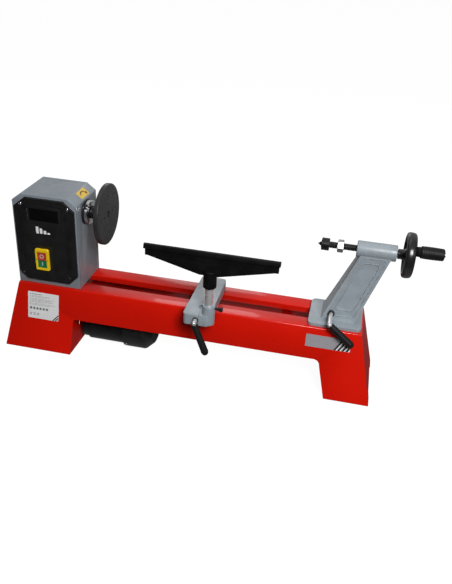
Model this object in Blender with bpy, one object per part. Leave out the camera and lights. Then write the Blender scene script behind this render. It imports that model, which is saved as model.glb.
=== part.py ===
"""Small bench wood lathe: folded sheet bed, headstock, tool rest and slanted-arm tailstock."""
import math

import bmesh
import bpy
from mathutils import Matrix, Vector

MM = 0.001

# Offset that puts the floor centre of the whole lathe at the world origin.
ORIGIN_X = -16.51
ORIGIN_Y = -34.88

# Bed: two folded panels with legs.
BED_TOP = 178.0
BED_DEPTH = 133.7
BED_SKIRT = 98.9
SHEET = 3.0
GAP = 0.3
TOP_LEFT = -467.4
TOP_RIGHT = 392.5
FOOT_LEFT = -506.2
FOOT_RIGHT = 435.9
LEG_LEFT_IN = -327.3
LEG_LEFT_IN_TOP = -321.1
LEG_RIGHT_IN = 325.8
LEG_RIGHT_IN_TOP = 301.7
SPLAY = 32.5
RAIL = 43.3
LIP_DROP = 16.0
BEND = 3.5
FOOT_FLANGE = 26.0

# Spindle line.
AXIS_Y = 66.8
AXIS_Z = 364.6

# Headstock.
HEAD_LEFT = -467.4
HEAD_RIGHT = -305.7
HEAD_FRONT = 7.1
HEAD_BACK = 133.5
HEAD_WALL = 396.5
HEAD_ROOF = 413.6
HEAD_SKIN = 5.0
PANEL_THICK = 5.0
FACEPLATE_R = 75.0
FACEPLATE_X = -247.6
COLLAR_R = 29.0
PULLEY_X = -395.0
BELT_WIDTH = 11.0

# Motor.
MOTOR_Z = 64.0
MOTOR_R = 54.5
MOTOR_LEFT = -318.5
MOTOR_RIGHT = -200.0
FAN_COVER_R = 60.0
FAN_COVER_END = -124.0
SPINDLE_STEPS = (31.0, 26.0, 21.0)
MOTOR_STEPS = (13.0, 18.0, 23.0)

# Tool rest.
POST_X = 37.5
POST_Y = -55.0
POST_R = 9.6
BOSS_R = 15.0
BOSS_TOP = 228.5
LOCK_Z = 220.0
BANJO_LEFT = -20.0
BANJO_RIGHT = 43.0
BANJO_FRONT = -72.0
BANJO_BACK = 122.0
BANJO_TOP = 205.0
CAM_X = 11.0
CAM_Z = 192.0
CAM_R = 5.0
GRIP_R = 8.8
REST_TOP = 361.5
REST_HALF = 156.0
HUB_LOW = 275.0

# Tailstock.
BASE_LEFT = 264.0
BASE_RIGHT = 390.0
BASE_TOP = 186.0
TAIL_CAM_X = 315.3
TAIL_CAM_Z = 202.5
BARREL_LEFT = 351.0
BARREL_RIGHT = 441.0
BARREL_R = 19.0
ROD_R = 7.8
TIP_X = 262.0
WHEEL_X = 469.0
WHEEL_R = 52.0
CRANK_Y = 38.0
CRANK_Z = 389.0

COLOURS = {
    "red_paint": ((0.56, 0.012, 0.004), 0.30, 0.0),
    "grey_paint": ((0.22, 0.25, 0.28), 0.42, 0.0),
    "black_paint": ((0.012, 0.012, 0.013), 0.38, 0.0),
    "black_plastic": ((0.016, 0.016, 0.018), 0.45, 0.0),
    "rubber_black": ((0.02, 0.02, 0.02), 0.75, 0.0),
    "chrome": ((0.75, 0.75, 0.76), 0.15, 1.0),
    "steel": ((0.5, 0.5, 0.5), 0.32, 1.0),
    "cast_iron": ((0.06, 0.06, 0.062), 0.5, 0.6),
    "yellow_plastic": ((0.80, 0.56, 0.01), 0.4, 0.0),
    "red_plastic": ((0.55, 0.05, 0.02), 0.4, 0.0),
    "green_plastic": ((0.01, 0.22, 0.07), 0.4, 0.0),
    "dark_glass": ((0.005, 0.005, 0.006), 0.12, 0.0),
    "belt_rubber": ((0.015, 0.015, 0.015), 0.7, 0.0),
}


def clear_scene():
    for item in list(bpy.data.objects):
        bpy.data.objects.remove(item, do_unlink=True)


def material(name, slot):
    colour, rough, metal = COLOURS[slot]
    mat = bpy.data.materials.new(slot + "_" + name)
    mat.use_nodes = True
    shader = mat.node_tree.nodes["Principled BSDF"]
    shader.inputs["Base Color"].default_value = (*colour, 1.0)
    shader.inputs["Roughness"].default_value = rough
    shader.inputs["Metallic"].default_value = metal
    mat.diffuse_color = (*colour, 1.0)
    return mat


def add(name, bm, slot, parent, origin=(0.0, 0.0, 0.0), smooth=None):
    """Make an object from bm (design millimetres) with its own origin in design millimetres."""
    bmesh.ops.recalc_face_normals(bm, faces=bm.faces)
    at = Vector(origin)
    for vert in bm.verts:
        vert.co = (vert.co - at) * MM
    mesh = bpy.data.meshes.new(name)
    bm.to_mesh(mesh)
    bm.free()
    obj = bpy.data.objects.new(name, mesh)
    bpy.context.scene.collection.objects.link(obj)
    mesh.materials.append(material(name, slot))
    obj.parent = parent
    base = Vector(parent["design_at"]) if parent else Vector((0.0, 0.0, 0.0))
    obj.location = (at - base) * MM
    if smooth:
        mesh.shade_smooth()
        mesh.set_sharp_from_angle(angle=math.radians(smooth))
    return obj


def empty(name, parent, origin):
    obj = bpy.data.objects.new(name, None)
    bpy.context.scene.collection.objects.link(obj)
    obj["design_at"] = list(origin)
    obj.parent = parent
    if parent:
        obj.location = (Vector(origin) - Vector(parent["design_at"])) * MM
    return obj


def prism(points, axis, low, high):
    """Extrude a 2D outline along X (y,z), Y (x,z) or Z (x,y)."""
    place = {
        "X": lambda a, b, d: (d, a, b),
        "Y": lambda a, b, d: (a, d, b),
        "Z": lambda a, b, d: (a, b, d),
    }[axis]
    bm = bmesh.new()
    first = [bm.verts.new(place(a, b, low)) for a, b in points]
    last = [bm.verts.new(place(a, b, high)) for a, b in points]
    bm.faces.new(first)
    bm.faces.new(last)
    for n in range(len(points)):
        m = (n + 1) % len(points)
        bm.faces.new((first[n], first[m], last[m], last[n]))
    return bm


def block(x0, x1, y0, y1, z0, z1):
    return prism([(x0, y0), (x1, y0), (x1, y1), (x0, y1)], "Z", z0, z1)


def rounded(x0, x1, y0, y1, radius, steps=3):
    """Outline of a rectangle with rounded corners."""
    out = []
    corners = ((x1, y1, 0.0), (x0, y1, 90.0), (x0, y0, 180.0), (x1, y0, 270.0))
    for cx, cy, start in corners:
        ox = cx - radius if cx == x1 else cx + radius
        oy = cy - radius if cy == y1 else cy + radius
        for k in range(steps + 1):
            a = math.radians(start + 90.0 * k / steps)
            out.append((ox + radius * math.cos(a), oy + radius * math.sin(a)))
    return out


def hexahedron(bottom, top):
    """Solid between two quads of 3D points."""
    bm = bmesh.new()
    a = [bm.verts.new(p) for p in bottom]
    b = [bm.verts.new(p) for p in top]
    bm.faces.new(a)
    bm.faces.new(b)
    for n in range(4):
        m = (n + 1) % 4
        bm.faces.new((a[n], a[m], b[m], b[n]))
    return bm


def turned(profile, axis, centre, steps=24, ring=False):
    """Revolve (along, radius) points about an axis; ring closes the profile on itself."""
    spin = {
        "X": lambda a, r, c, s: (a, centre[0] + r * c, centre[1] + r * s),
        "Y": lambda a, r, c, s: (centre[0] + r * c, a, centre[1] + r * s),
        "Z": lambda a, r, c, s: (centre[0] + r * c, centre[1] + r * s, a),
    }[axis]
    bm = bmesh.new()
    rows = []
    for along, radius in profile:
        if radius <= 0.0:
            rows.append([bm.verts.new(spin(along, 0.0, 1.0, 0.0))])
            continue
        row = []
        for k in range(steps):
            a = 2.0 * math.pi * k / steps
            row.append(bm.verts.new(spin(along, radius, math.cos(a), math.sin(a))))
        rows.append(row)
    pairs = list(zip(rows, rows[1:]))
    if ring:
        pairs.append((rows[-1], rows[0]))
    for one, two in pairs:
        for k in range(steps):
            m = (k + 1) % steps
            if len(one) == 1:
                bm.faces.new((one[0], two[k], two[m]))
            elif len(two) == 1:
                bm.faces.new((one[k], one[m], two[0]))
            else:
                bm.faces.new((one[k], one[m], two[m], two[k]))
    if not ring:
        for row in (rows[0], rows[-1]):
            if len(row) > 1:
                bm.faces.new(row)
    return bm


def tube(axis, centre, low, high, outer, inner, steps=24):
    profile = [(low, inner), (low, outer), (high, outer), (high, inner)]
    return turned(profile, axis, centre, steps, ring=True)


def rod(axis, centre, low, high, radius, steps=24, chamfer=0.0):
    if chamfer <= 0.0:
        return turned([(low, radius), (high, radius)], axis, centre, steps)
    profile = [
        (low, radius - chamfer),
        (low + chamfer, radius),
        (high - chamfer, radius),
        (high, radius - chamfer),
    ]
    return turned(profile, axis, centre, steps)


def combine(obj, bm, operation):
    """Join or cut obj with a helper solid through an exact Boolean."""
    helper = add(obj.name + "_" + operation.lower() + str(len(obj.modifiers)), bm, "steel", None)
    helper.parent = obj.parent
    helper.location = -Vector(obj.parent["design_at"]) * MM
    helper.display_type = "WIRE"
    helper.hide_render = True
    mod = obj.modifiers.new(operation.lower(), "BOOLEAN")
    mod.operation = operation
    mod.solver = "EXACT"
    mod.object = helper
    return helper


def cut(obj, bm):
    return combine(obj, bm, "DIFFERENCE")


def join(obj, bm):
    return combine(obj, bm, "UNION")


def bevel(obj, width, segments=1, angle=40.0):
    mod = obj.modifiers.new("edges", "BEVEL")
    mod.width = width * MM
    mod.segments = segments
    mod.limit_method = "ANGLE"
    mod.angle_limit = math.radians(angle)
    mod.harden_normals = False
    return mod


def between(low, high, z):
    """Value at height z of an edge that is low at the floor and high at the bed top."""
    return low + (high - low) * z / BED_TOP


def splay(z):
    return -SPLAY * (BED_TOP - z) / BED_TOP


def bed_panel(name, rear, parent):
    """Top rail, inner lip, sloping skirt, two legs and folded feet as one bent sheet."""
    bm = bmesh.new()

    def vert(x, y, z):
        return bm.verts.new((x, BED_DEPTH - y if rear else y, z))

    def row(y, z, inset):
        left = between(FOOT_LEFT, TOP_LEFT, z) + inset
        right = between(FOOT_RIGHT, TOP_RIGHT, z) - inset
        return [vert(left, y, z), vert(right, y, z)]

    rows = [
        row(RAIL, BED_TOP - LIP_DROP, 12.0),
        row(RAIL, BED_TOP - BEND, 8.0),
        row(RAIL - BEND * 0.3, BED_TOP - BEND * 0.3, 4.0),
        row(RAIL - BEND, BED_TOP, 0.0),
        row(BEND, BED_TOP, 0.0),
        row(BEND * 0.24, BED_TOP - BEND * 0.3, 0.0),
        row(splay(BED_TOP - BEND), BED_TOP - BEND, 0.0),
    ]
    for one, two in zip(rows, rows[1:]):
        bm.faces.new((one[0], one[1], two[1], two[0]))
    outline = [rows[-1][0], rows[-1][1]]
    low = BEND
    fold = {}

    def point(x, z):
        return vert(x, splay(z), z)

    fold["ro"] = point(between(FOOT_RIGHT, TOP_RIGHT, low), low)
    fold["ri"] = point(LEG_RIGHT_IN, low)
    outline += [fold["ro"], fold["ri"]]
    fillet = 15.0
    lean = (LEG_RIGHT_IN - LEG_RIGHT_IN_TOP) / BED_SKIRT
    for k in range(4):
        a = math.radians(90.0 * k / 3)
        x = LEG_RIGHT_IN_TOP + lean * fillet - fillet * (1.0 - math.cos(a))
        z = BED_SKIRT - fillet + fillet * math.sin(a)
        outline.append(point(x, z))
    fillet = 6.0
    for k in range(3):
        a = math.radians(90.0 - 90.0 * k / 2)
        x = LEG_LEFT_IN_TOP + fillet * (1.0 - math.cos(a))
        z = BED_SKIRT - fillet + fillet * math.sin(a)
        outline.append(point(x, z))
    fold["li"] = point(LEG_LEFT_IN, low)
    fold["lo"] = point(between(FOOT_LEFT, TOP_LEFT, low), low)
    outline += [fold["li"], fold["lo"]]
    bm.faces.new(outline)
    for side in ("l", "r"):
        before = [fold[side + "o"], fold[side + "i"]]
        inward = 1.0 if side == "l" else -1.0
        steps = ((BEND * 0.3, BEND * 0.3, 1.0), (BEND, 0.0, 5.0), (FOOT_FLANGE, 0.0, 8.0))
        for reach, z, inset in steps:
            now = [
                vert(before[0].co.x + inward * (inset - 1.0) * 0.6, -SPLAY + reach, z),
                vert(before[1].co.x - inward * (inset - 1.0) * 0.6, -SPLAY + reach, z),
            ]
            bm.faces.new((before[0], before[1], now[1], now[0]))
            before = now
    obj = add(name, bm, "red_paint", parent, smooth=30)
    mod = obj.modifiers.new("sheet", "SOLIDIFY")
    mod.thickness = SHEET * MM
    mod.offset = -1.0
    mod.use_even_offset = True
    for x in (-470.0, -360.0, 350.0, 408.0):
        y = -SPLAY + 16.0
        y = BED_DEPTH - y if rear else y
        cut(obj, rod("Z", (x, y), -5.0, 12.0, 4.2, 16))
    return obj


def cross_plate(name, parent, x_of, z_low, z_high, arch, thick):
    """Plate across the bed between both panels; x_of gives its outer face at a height."""
    skin = SHEET + GAP + 0.2
    front_low = splay(z_low) + skin
    front_high = splay(z_high) + skin
    points = [(front_high, z_high), (front_low, z_low)]
    if arch > 0.0:
        foot = 30.0
        points += [(front_low + foot, z_low)]
        points += [(front_low + foot + 12.0, z_low + arch)]
        points += [(BED_DEPTH - front_low - foot - 12.0, z_low + arch)]
        points += [(BED_DEPTH - front_low - foot, z_low)]
    points += [(BED_DEPTH - front_low, z_low), (BED_DEPTH - front_high, z_high)]
    bm = bmesh.new()
    outer = [bm.verts.new((x_of(z), y, z)) for y, z in points]
    inner = [bm.verts.new((x_of(z) + thick, y, z)) for y, z in points]
    bm.faces.new(outer)
    bm.faces.new(inner)
    for n in range(len(points)):
        m = (n + 1) % len(points)
        bm.faces.new((outer[n], outer[m], inner[m], inner[n]))
    return add(name, bm, "red_paint", parent)


def build_bed(root):
    bed_panel("bed_front_panel", False, root)
    bed_panel("bed_rear_panel", True, root)

    def left(z):
        return between(FOOT_LEFT, TOP_LEFT, z)

    def right(z):
        return between(FOOT_RIGHT, TOP_RIGHT, z) - SHEET

    def motor_side(z):
        return LEG_LEFT_IN + (LEG_LEFT_IN_TOP - LEG_LEFT_IN) * z / BED_SKIRT - SHEET

    low = SHEET + GAP
    cross_plate("end_plate_left", root, left, low, BED_TOP - 6.0, 10.0, SHEET)
    cross_plate("end_plate_right", root, right, low, BED_TOP - 6.0, 10.0, SHEET)
    side = cross_plate("motor_side_plate", root, motor_side, low, 140.0, 0.0, SHEET)
    cut(side, rod("X", (AXIS_Y, MOTOR_Z), -340.0, -310.0, 16.0, 24))
    for dy in (-36.0, 36.0):
        slot = rounded(AXIS_Y + dy - 4.5, AXIS_Y + dy + 4.5, MOTOR_Z - 10.0, MOTOR_Z + 10.0, 4.4, 3)
        cut(side, prism(slot, "X", -340.0, -310.0))
    for name, x in (("bed_tie_left", -60.0), ("bed_tie_right", 190.0)):
        skin = SHEET + GAP + 0.2
        pts = [
            (splay(102.0) + skin, 102.0),
            (BED_DEPTH - splay(102.0) - skin, 102.0),
            (BED_DEPTH - splay(122.0) - skin, 122.0),
            (splay(122.0) + skin, 122.0),
        ]
        tie = add(name, prism(pts, "X", x, x + 26.0), "red_paint", root)
        cut(tie, block(x + 3.0, x + 23.0, -40.0, 180.0, 90.0, 119.0))


def head_outline(inset):
    w = 22.0
    return [
        (HEAD_LEFT + inset, BED_TOP + GAP - inset * 2.0),
        (HEAD_RIGHT - inset, BED_TOP + GAP - inset * 2.0),
        (HEAD_RIGHT - inset, HEAD_WALL - inset * 0.4),
        (HEAD_RIGHT - w - inset * 0.2, HEAD_ROOF - inset),
        (HEAD_LEFT + w + inset * 0.2, HEAD_ROOF - inset),
        (HEAD_LEFT + inset, HEAD_WALL - inset * 0.4),
    ]


def panel_outline(inset=0.0):
    x0 = -461.5 + inset
    x1 = -309.0 - inset
    z0 = 191.0 + inset
    z1 = 408.0 - inset
    return [
        (x0 + 20.0, z0),
        (x1 - 22.0, z0),
        (x1, z0 + 22.0),
        (x1, z1 - 24.0),
        (x1 - 27.0, z1),
        (x0 + 29.0, z1),
        (x0, z1 - 24.0),
        (x0, z0 + 20.0),
    ]


def build_headstock(root):
    house = prism(head_outline(0.0), "Y", HEAD_FRONT, HEAD_BACK)
    house = add("headstock_housing", house, "grey_paint", root)
    cut(house, prism(head_outline(HEAD_SKIN), "Y", HEAD_FRONT + HEAD_SKIN, HEAD_BACK - HEAD_SKIN))
    cut(house, block(-416.0, -376.4, 0.0, 20.0, 220.0, 282.0))
    cut(house, rod("X", (AXIS_Y, AXIS_Z), -320.0, -300.0, 26.2, 32))
    cut(house, rod("X", (AXIS_Y, AXIS_Z), -480.0, -455.0, 21.2, 32))
    cut(house, block(-480.0, -455.0, 32.0, 102.0, 204.0, 304.0))
    bevel(house, 1.2, 1, 35.0)

    front = HEAD_FRONT - PANEL_THICK - GAP
    panel = prism(panel_outline(), "Y", front, front + PANEL_THICK)
    panel = add("front_panel", panel, "black_plastic", root)
    cut(panel, block(-423.0, -350.0, -20.0, front + 3.0, 351.0, 382.0))
    cut(panel, block(-412.0, -380.4, -20.0, 20.0, 224.5, 277.5))
    for x in (-448.0, -330.0):
        groove = rounded(x - 3.0, x + 3.0, 224.0, 372.0, 2.9, 2)
        cut(panel, prism(groove, "Y", -20.0, front + 2.0))
    for x, z in ((-444.0, 391.0), (-325.0, 391.0), (-452.0, 206.0), (-331.0, 206.0)):
        cut(panel, rod("Y", (x, z), -20.0, 20.0, 2.3, 12))
    bevel(panel, 1.0, 1, 50.0)
    screws = (
        ("panel_screw_upper_left", -444.0, 391.0, "chrome"),
        ("panel_screw_upper_right", -325.0, 391.0, "chrome"),
        ("panel_screw_lower_left", -452.0, 206.0, "black_paint"),
        ("panel_screw_lower_right", -331.0, 206.0, "black_paint"),
    )
    for name, x, z, slot in screws:
        profile = [
            (front - 2.6, 2.0),
            (front - 1.6, 4.2),
            (front - GAP, 4.4),
            (front - GAP, 2.0),
            (front + PANEL_THICK - 0.2, 2.0),
        ]
        add(name, turned(profile, "Y", (x, z), 14), slot, root, (x, front, z), 30)
    window = block(-422.6, -350.4, front + 1.4, front + 2.7, 351.4, 381.6)
    add("speed_window", window, "dark_glass", root)

    frame = prism(rounded(-414.5, -378.5, 222.0, 280.0, 4.0, 3), "Y", front - 6.0, front - GAP)
    frame = add("switch_frame", frame, "yellow_plastic", root)
    cut(frame, block(-408.6, -385.4, -30.0, 20.0, 229.0, 271.0))
    bevel(frame, 0.8, 1, 50.0)
    box = block(-411.0, -381.4, front + 0.6, 30.0, 225.5, 276.5)
    box = add("switch_body", box, "black_plastic", root)
    cut(box, block(-409.0, -383.4, -30.0, 27.5, 227.5, 274.5))
    for name, z0, z1, slot, lean in (
        ("start_button", 229.4, 249.6, "green_plastic", 0.0),
        ("stop_button", 250.4, 270.6, "red_plastic", 1.5),
    ):
        centre = (-397.0, front - 5.0, (z0 + z1) / 2)
        hold = empty(name + "_axis", root, centre)
        button = block(-408.2, -385.8, front - 5.4 - lean, 21.0, z0, z1)
        button = add(name, button, slot, hold, centre)
        bevel(button, 0.6, 1, 60.0)

    profile = [
        (HEAD_RIGHT - HEAD_SKIN + GAP, 12.4),
        (HEAD_RIGHT - HEAD_SKIN + GAP, 26.0),
        (HEAD_RIGHT + GAP, 26.0),
        (HEAD_RIGHT + GAP, 31.0),
        (HEAD_RIGHT + 4.0, 31.0),
        (HEAD_RIGHT + 5.0, 24.0),
        (HEAD_RIGHT + 5.0, 12.4),
    ]
    add("bearing_front", turned(profile, "X", (AXIS_Y, AXIS_Z), 24, ring=True), "steel", root, smooth=30)
    rear = tube("X", (AXIS_Y, AXIS_Z), HEAD_LEFT - 1.0, HEAD_LEFT + 12.0, 21.0, 12.4, 24)
    add("bearing_rear", rear, "steel", root, smooth=30)


def pulley_profile(steps, wide, bore):
    """Stepped belt pulley section, its first step on the belt line."""
    x = PULLEY_X - wide / 2
    out = [(x, bore)]
    for radius in steps:
        out += [(x, radius + 1.6), (x + 1.2, radius), (x + wide, radius)]
        x += wide
    out += [(x, bore)]
    return out


def build_spindle(root):
    hold = empty("spindle_axis", root, (0.0, AXIS_Y, AXIS_Z))
    centre = (AXIS_Y, AXIS_Z)
    origin = (0.0, AXIS_Y, AXIS_Z)
    shaft = [
        (HEAD_LEFT - 1.0, 11.0),
        (HEAD_LEFT, 12.0),
        (-289.0, 12.0),
        (-289.0, 9.5),
        (-268.0, 9.5),
    ]
    add("spindle_shaft", turned(shaft, "X", centre, 24), "steel", hold, origin, 30)
    wide = BELT_WIDTH + 3.0
    profile = pulley_profile(SPINDLE_STEPS, wide, 12.3)
    add("spindle_pulley", turned(profile, "X", centre, 24, ring=True), "steel", hold, origin, 30)
    collar = [
        (-299.9, 12.3),
        (-299.9, COLLAR_R),
        (-291.0, COLLAR_R),
        (-289.5, COLLAR_R - 1.5),
        (-289.5, 12.3),
    ]
    collar = add("spindle_collar", turned(collar, "X", centre, 24, ring=True), "chrome", hold, origin, 30)
    for angle in (136.0, 316.0):
        a = math.radians(angle)
        notch = (AXIS_Y + COLLAR_R * math.cos(a), AXIS_Z + COLLAR_R * math.sin(a))
        cut(collar, rod("X", notch, -303.0, -285.0, 7.0, 12))
    plate = [
        (-288.7, 9.8),
        (-288.7, 16.0),
        (-262.0, 16.5),
        (FACEPLATE_X - 10.5, 22.0),
        (FACEPLATE_X - 10.5, FACEPLATE_R - 1.0),
        (FACEPLATE_X - 9.5, FACEPLATE_R),
        (FACEPLATE_X - 1.0, FACEPLATE_R),
        (FACEPLATE_X, FACEPLATE_R - 1.0),
        (FACEPLATE_X, 8.0),
        (-266.0, 8.0),
        (-266.0, 9.8),
    ]
    plate = add("faceplate", turned(plate, "X", centre, 40, ring=True), "cast_iron", hold, origin, 30)
    for n in range(8):
        a = math.radians(90.0 * (n % 4))
        r = 27.0 if n < 4 else 46.0
        hole = rod("X", (AXIS_Y + r * math.cos(a), AXIS_Z + r * math.sin(a)), -270.0, -240.0, 2.4, 10)
        cut(plate, hole)
    return hold


def belt_outline(top_r, low_r, steps=14):
    """Loop around both pulleys in the y, z plane, centred on the spindle line."""
    span = AXIS_Z - MOTOR_Z
    lean = math.asin((top_r - low_r) / span)
    out = []
    for k in range(steps + 1):
        a = -lean + (math.pi + 2.0 * lean) * k / steps
        out.append((AXIS_Y + top_r * math.cos(a), AXIS_Z + top_r * math.sin(a)))
    for k in range(steps + 1):
        a = math.pi + lean + (math.pi - 2.0 * lean) * k / steps
        out.append((AXIS_Y + low_r * math.cos(a), MOTOR_Z + low_r * math.sin(a)))
    return out


def build_belt(root):
    slack = GAP + 0.25
    inner = belt_outline(SPINDLE_STEPS[0] + slack, MOTOR_STEPS[0] + slack)
    outer = belt_outline(SPINDLE_STEPS[0] + slack + 2.6, MOTOR_STEPS[0] + slack + 2.6)
    low = PULLEY_X - BELT_WIDTH / 2 + 0.2
    high = PULLEY_X + BELT_WIDTH / 2 - 0.2
    bm = bmesh.new()
    loops = []
    for points, x in ((inner, low), (outer, low), (outer, high), (inner, high)):
        loops.append([bm.verts.new((x, y, z)) for y, z in points])
    count = len(inner)
    for n in range(4):
        one = loops[n]
        two = loops[(n + 1) % 4]
        for k in range(count):
            m = (k + 1) % count
            bm.faces.new((one[k], one[m], two[m], two[k]))
    add("drive_belt", bm, "belt_rubber", root, smooth=35)


def build_motor(root):
    centre = (AXIS_Y, MOTOR_Z)
    bell = [
        (MOTOR_LEFT, 9.0),
        (MOTOR_LEFT, 44.0),
        (MOTOR_LEFT + 6.0, MOTOR_R - 4.0),
        (MOTOR_LEFT + 22.0, MOTOR_R - 4.0),
        (MOTOR_LEFT + 22.0, 9.0),
    ]
    add("motor_end_bell", turned(bell, "X", centre, 28, ring=True), "black_paint", root, smooth=30)
    shell = [
        (MOTOR_LEFT + 22.0 + GAP, MOTOR_R - 5.0),
        (MOTOR_LEFT + 22.0 + GAP, MOTOR_R),
        (MOTOR_RIGHT, MOTOR_R),
        (MOTOR_RIGHT, 9.0),
        (MOTOR_RIGHT - 4.0, 9.0),
        (MOTOR_RIGHT - 4.0, MOTOR_R - 5.0),
    ]
    add("motor_housing", turned(shell, "X", centre, 32, ring=True), "black_paint", root, smooth=30)
    cover = [
        (MOTOR_RIGHT + GAP, FAN_COVER_R - 2.0),
        (MOTOR_RIGHT + GAP, FAN_COVER_R),
        (FAN_COVER_END - 22.0, FAN_COVER_R),
        (FAN_COVER_END - 5.0, FAN_COVER_R - 14.0),
        (FAN_COVER_END, FAN_COVER_R - 26.0),
        (FAN_COVER_END, 6.0),
        (FAN_COVER_END - 2.0, 6.0),
        (FAN_COVER_END - 2.0, FAN_COVER_R - 28.0),
        (FAN_COVER_END - 24.0, FAN_COVER_R - 2.0),
    ]
    cover = turned(cover, "X", centre, 32, ring=True)
    cover = add("motor_fan_cover", cover, "black_plastic", root, smooth=30)
    for n in range(6):
        a = math.radians(60.0 * n + 30.0)
        y = AXIS_Y + 19.0 * math.cos(a)
        z = MOTOR_Z + 19.0 * math.sin(a)
        cut(cover, rod("X", (y, z), FAN_COVER_END - 10.0, FAN_COVER_END + 5.0, 5.5, 8))
    box = block(-290.0, -215.0, AXIS_Y + MOTOR_R + 1.0, AXIS_Y + MOTOR_R + 22.0, 48.0, 88.0)
    box = add("capacitor_box", box, "black_plastic", root)
    bevel(box, 3.0, 1)
    for name, dy in (("motor_bolt_front", -36.0), ("motor_bolt_rear", 36.0)):
        y = AXIS_Y + dy
        profile = [
            (-338.0, 7.5),
            (-330.0, 7.5),
            (-330.0, 4.0),
            (MOTOR_LEFT - GAP, 4.0),
        ]
        add(name, turned(profile, "X", (y, MOTOR_Z), 6), "chrome", root, (-330.0, y, MOTOR_Z))

    hold = empty("motor_axis", root, (0.0, AXIS_Y, MOTOR_Z))
    origin = (0.0, AXIS_Y, MOTOR_Z)
    shaft = [
        (-412.0, 6.0),
        (-411.0, 7.0),
        (MOTOR_LEFT - 6.0, 7.0),
        (MOTOR_LEFT - 6.0, 8.6),
        (MOTOR_RIGHT + 4.0, 8.6),
        (MOTOR_RIGHT + 4.0, 6.0),
        (-160.0, 6.0),
    ]
    add("motor_shaft", turned(shaft, "X", centre, 20), "steel", hold, origin, 30)
    wide = BELT_WIDTH + 3.0
    profile = pulley_profile(MOTOR_STEPS, wide, 7.3)
    add("motor_pulley", turned(profile, "X", centre, 18, ring=True), "steel", hold, origin, 30)
    hub = tube("X", centre, -184.0, -166.0, 13.0, 6.3, 20)
    fan = add("cooling_fan", hub, "black_plastic", hold, origin, 30)
    for n in range(6):
        blade = block(-183.0, -167.0, -1.0, 1.0, 11.0, 42.0)
        turn = Matrix.Rotation(math.radians(60.0 * n), 4, "X")
        shift = Matrix.Translation((0.0, AXIS_Y, MOTOR_Z))
        bmesh.ops.transform(blade, matrix=shift @ turn, verts=blade.verts)
        join(fan, blade)


def build_door(root):
    """Hinged belt access door on the headstock's left side."""
    x = HEAD_LEFT - GAP
    hinge = (x - 1.0, 112.0, 254.0)
    hold = empty("belt_door_axis", root, hinge)
    door = prism(rounded(24.0, 110.0, 196.0, 312.0, 6.0, 2), "X", x - 1.8, x)
    door = add("belt_door", door, "grey_paint", hold, hinge)
    latch = prism(rounded(30.0, 50.0, 249.0, 259.0, 4.9, 3), "X", x - 4.6, x - 2.1)
    add("belt_door_latch", latch, "black_plastic", hold, hinge, 30)


def eye_bolt(name, x, z, parent):
    """Clamp bolt whose eye rides on the lever shaft and whose stem drops through the bed slot."""
    eye = tube("Y", (x, z), AXIS_Y - 6.0, AXIS_Y + 6.0, 9.0, CAM_R + 0.3, 20)
    eye = add(name, eye, "steel", parent, (x, AXIS_Y, z), 30)
    join(eye, rod("Z", (x, AXIS_Y), 139.0, z - 7.2, 4.6, 16))
    return eye


def clamp_shoe(name, x, parent):
    plate = prism(rounded(x - 27.0, x + 27.0, 31.0, 102.6, 6.0, 2), "Z", 152.0, 160.5)
    plate = add(name, plate, "steel", parent, (x, AXIS_Y, 156.0))
    cut(plate, rod("Z", (x, AXIS_Y), 142.0, 172.0, 5.0, 16))
    return plate


def clamp_nut(name, x, parent):
    nut = rod("Z", (x, AXIS_Y), 142.0, 151.6, 9.5, 6)
    nut = add(name, nut, "chrome", parent, (x, AXIS_Y, 147.0))
    cut(nut, rod("Z", (x, AXIS_Y), 132.0, 162.0, 5.0, 16))


def lever(prefix, parent, x, z, face_y, rod_end, shaft_back, grip_turn, reach):
    """Clamp lever: shaft through the casting, bent down at its front end into a moulded grip."""
    hold = empty(prefix + "_axis", parent, (x, face_y, z))
    origin = (x, face_y, z)
    turn = Matrix.Rotation(math.radians(grip_turn), 4, "Y")
    place = Matrix.Translation((x, rod_end, z)) @ turn
    shaft = [
        (rod_end, CAM_R),
        (shaft_back - 1.0, CAM_R),
        (shaft_back, CAM_R - 1.0),
    ]
    shaft = add(prefix + "_shaft", turned(shaft, "Y", (x, z), 16), "chrome", hold, origin, 30)
    elbow = [(5.0, 0.0), (4.3, 2.5), (2.5, 4.3), (0.0, CAM_R), (-16.0, CAM_R), (-17.0, 4.0)]
    elbow = turned(elbow, "Z", (0.0, 0.0), 16)
    bmesh.ops.transform(elbow, matrix=place, verts=elbow.verts)
    join(shaft, elbow)
    profile = [
        (-17.5, 0.0),
        (-17.5, CAM_R + 0.3),
        (-3.5, CAM_R + 0.3),
        (-3.5, 6.8),
        (-5.0, 8.1),
        (11.0 - reach, GRIP_R),
        (3.0 - reach, 7.4),
        (-reach, 4.0),
        (-reach, 0.0),
    ]
    grip = turned(profile, "Z", (0.0, 0.0), 16)
    bmesh.ops.transform(grip, matrix=place, verts=grip.verts)
    grip = add(prefix + "_grip", grip, "rubber_black", hold, origin, 30)
    cut(grip, rod("Y", (x, z), rod_end - 1.0, rod_end + 30.0, CAM_R + 0.3, 16))
    return hold


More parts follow.
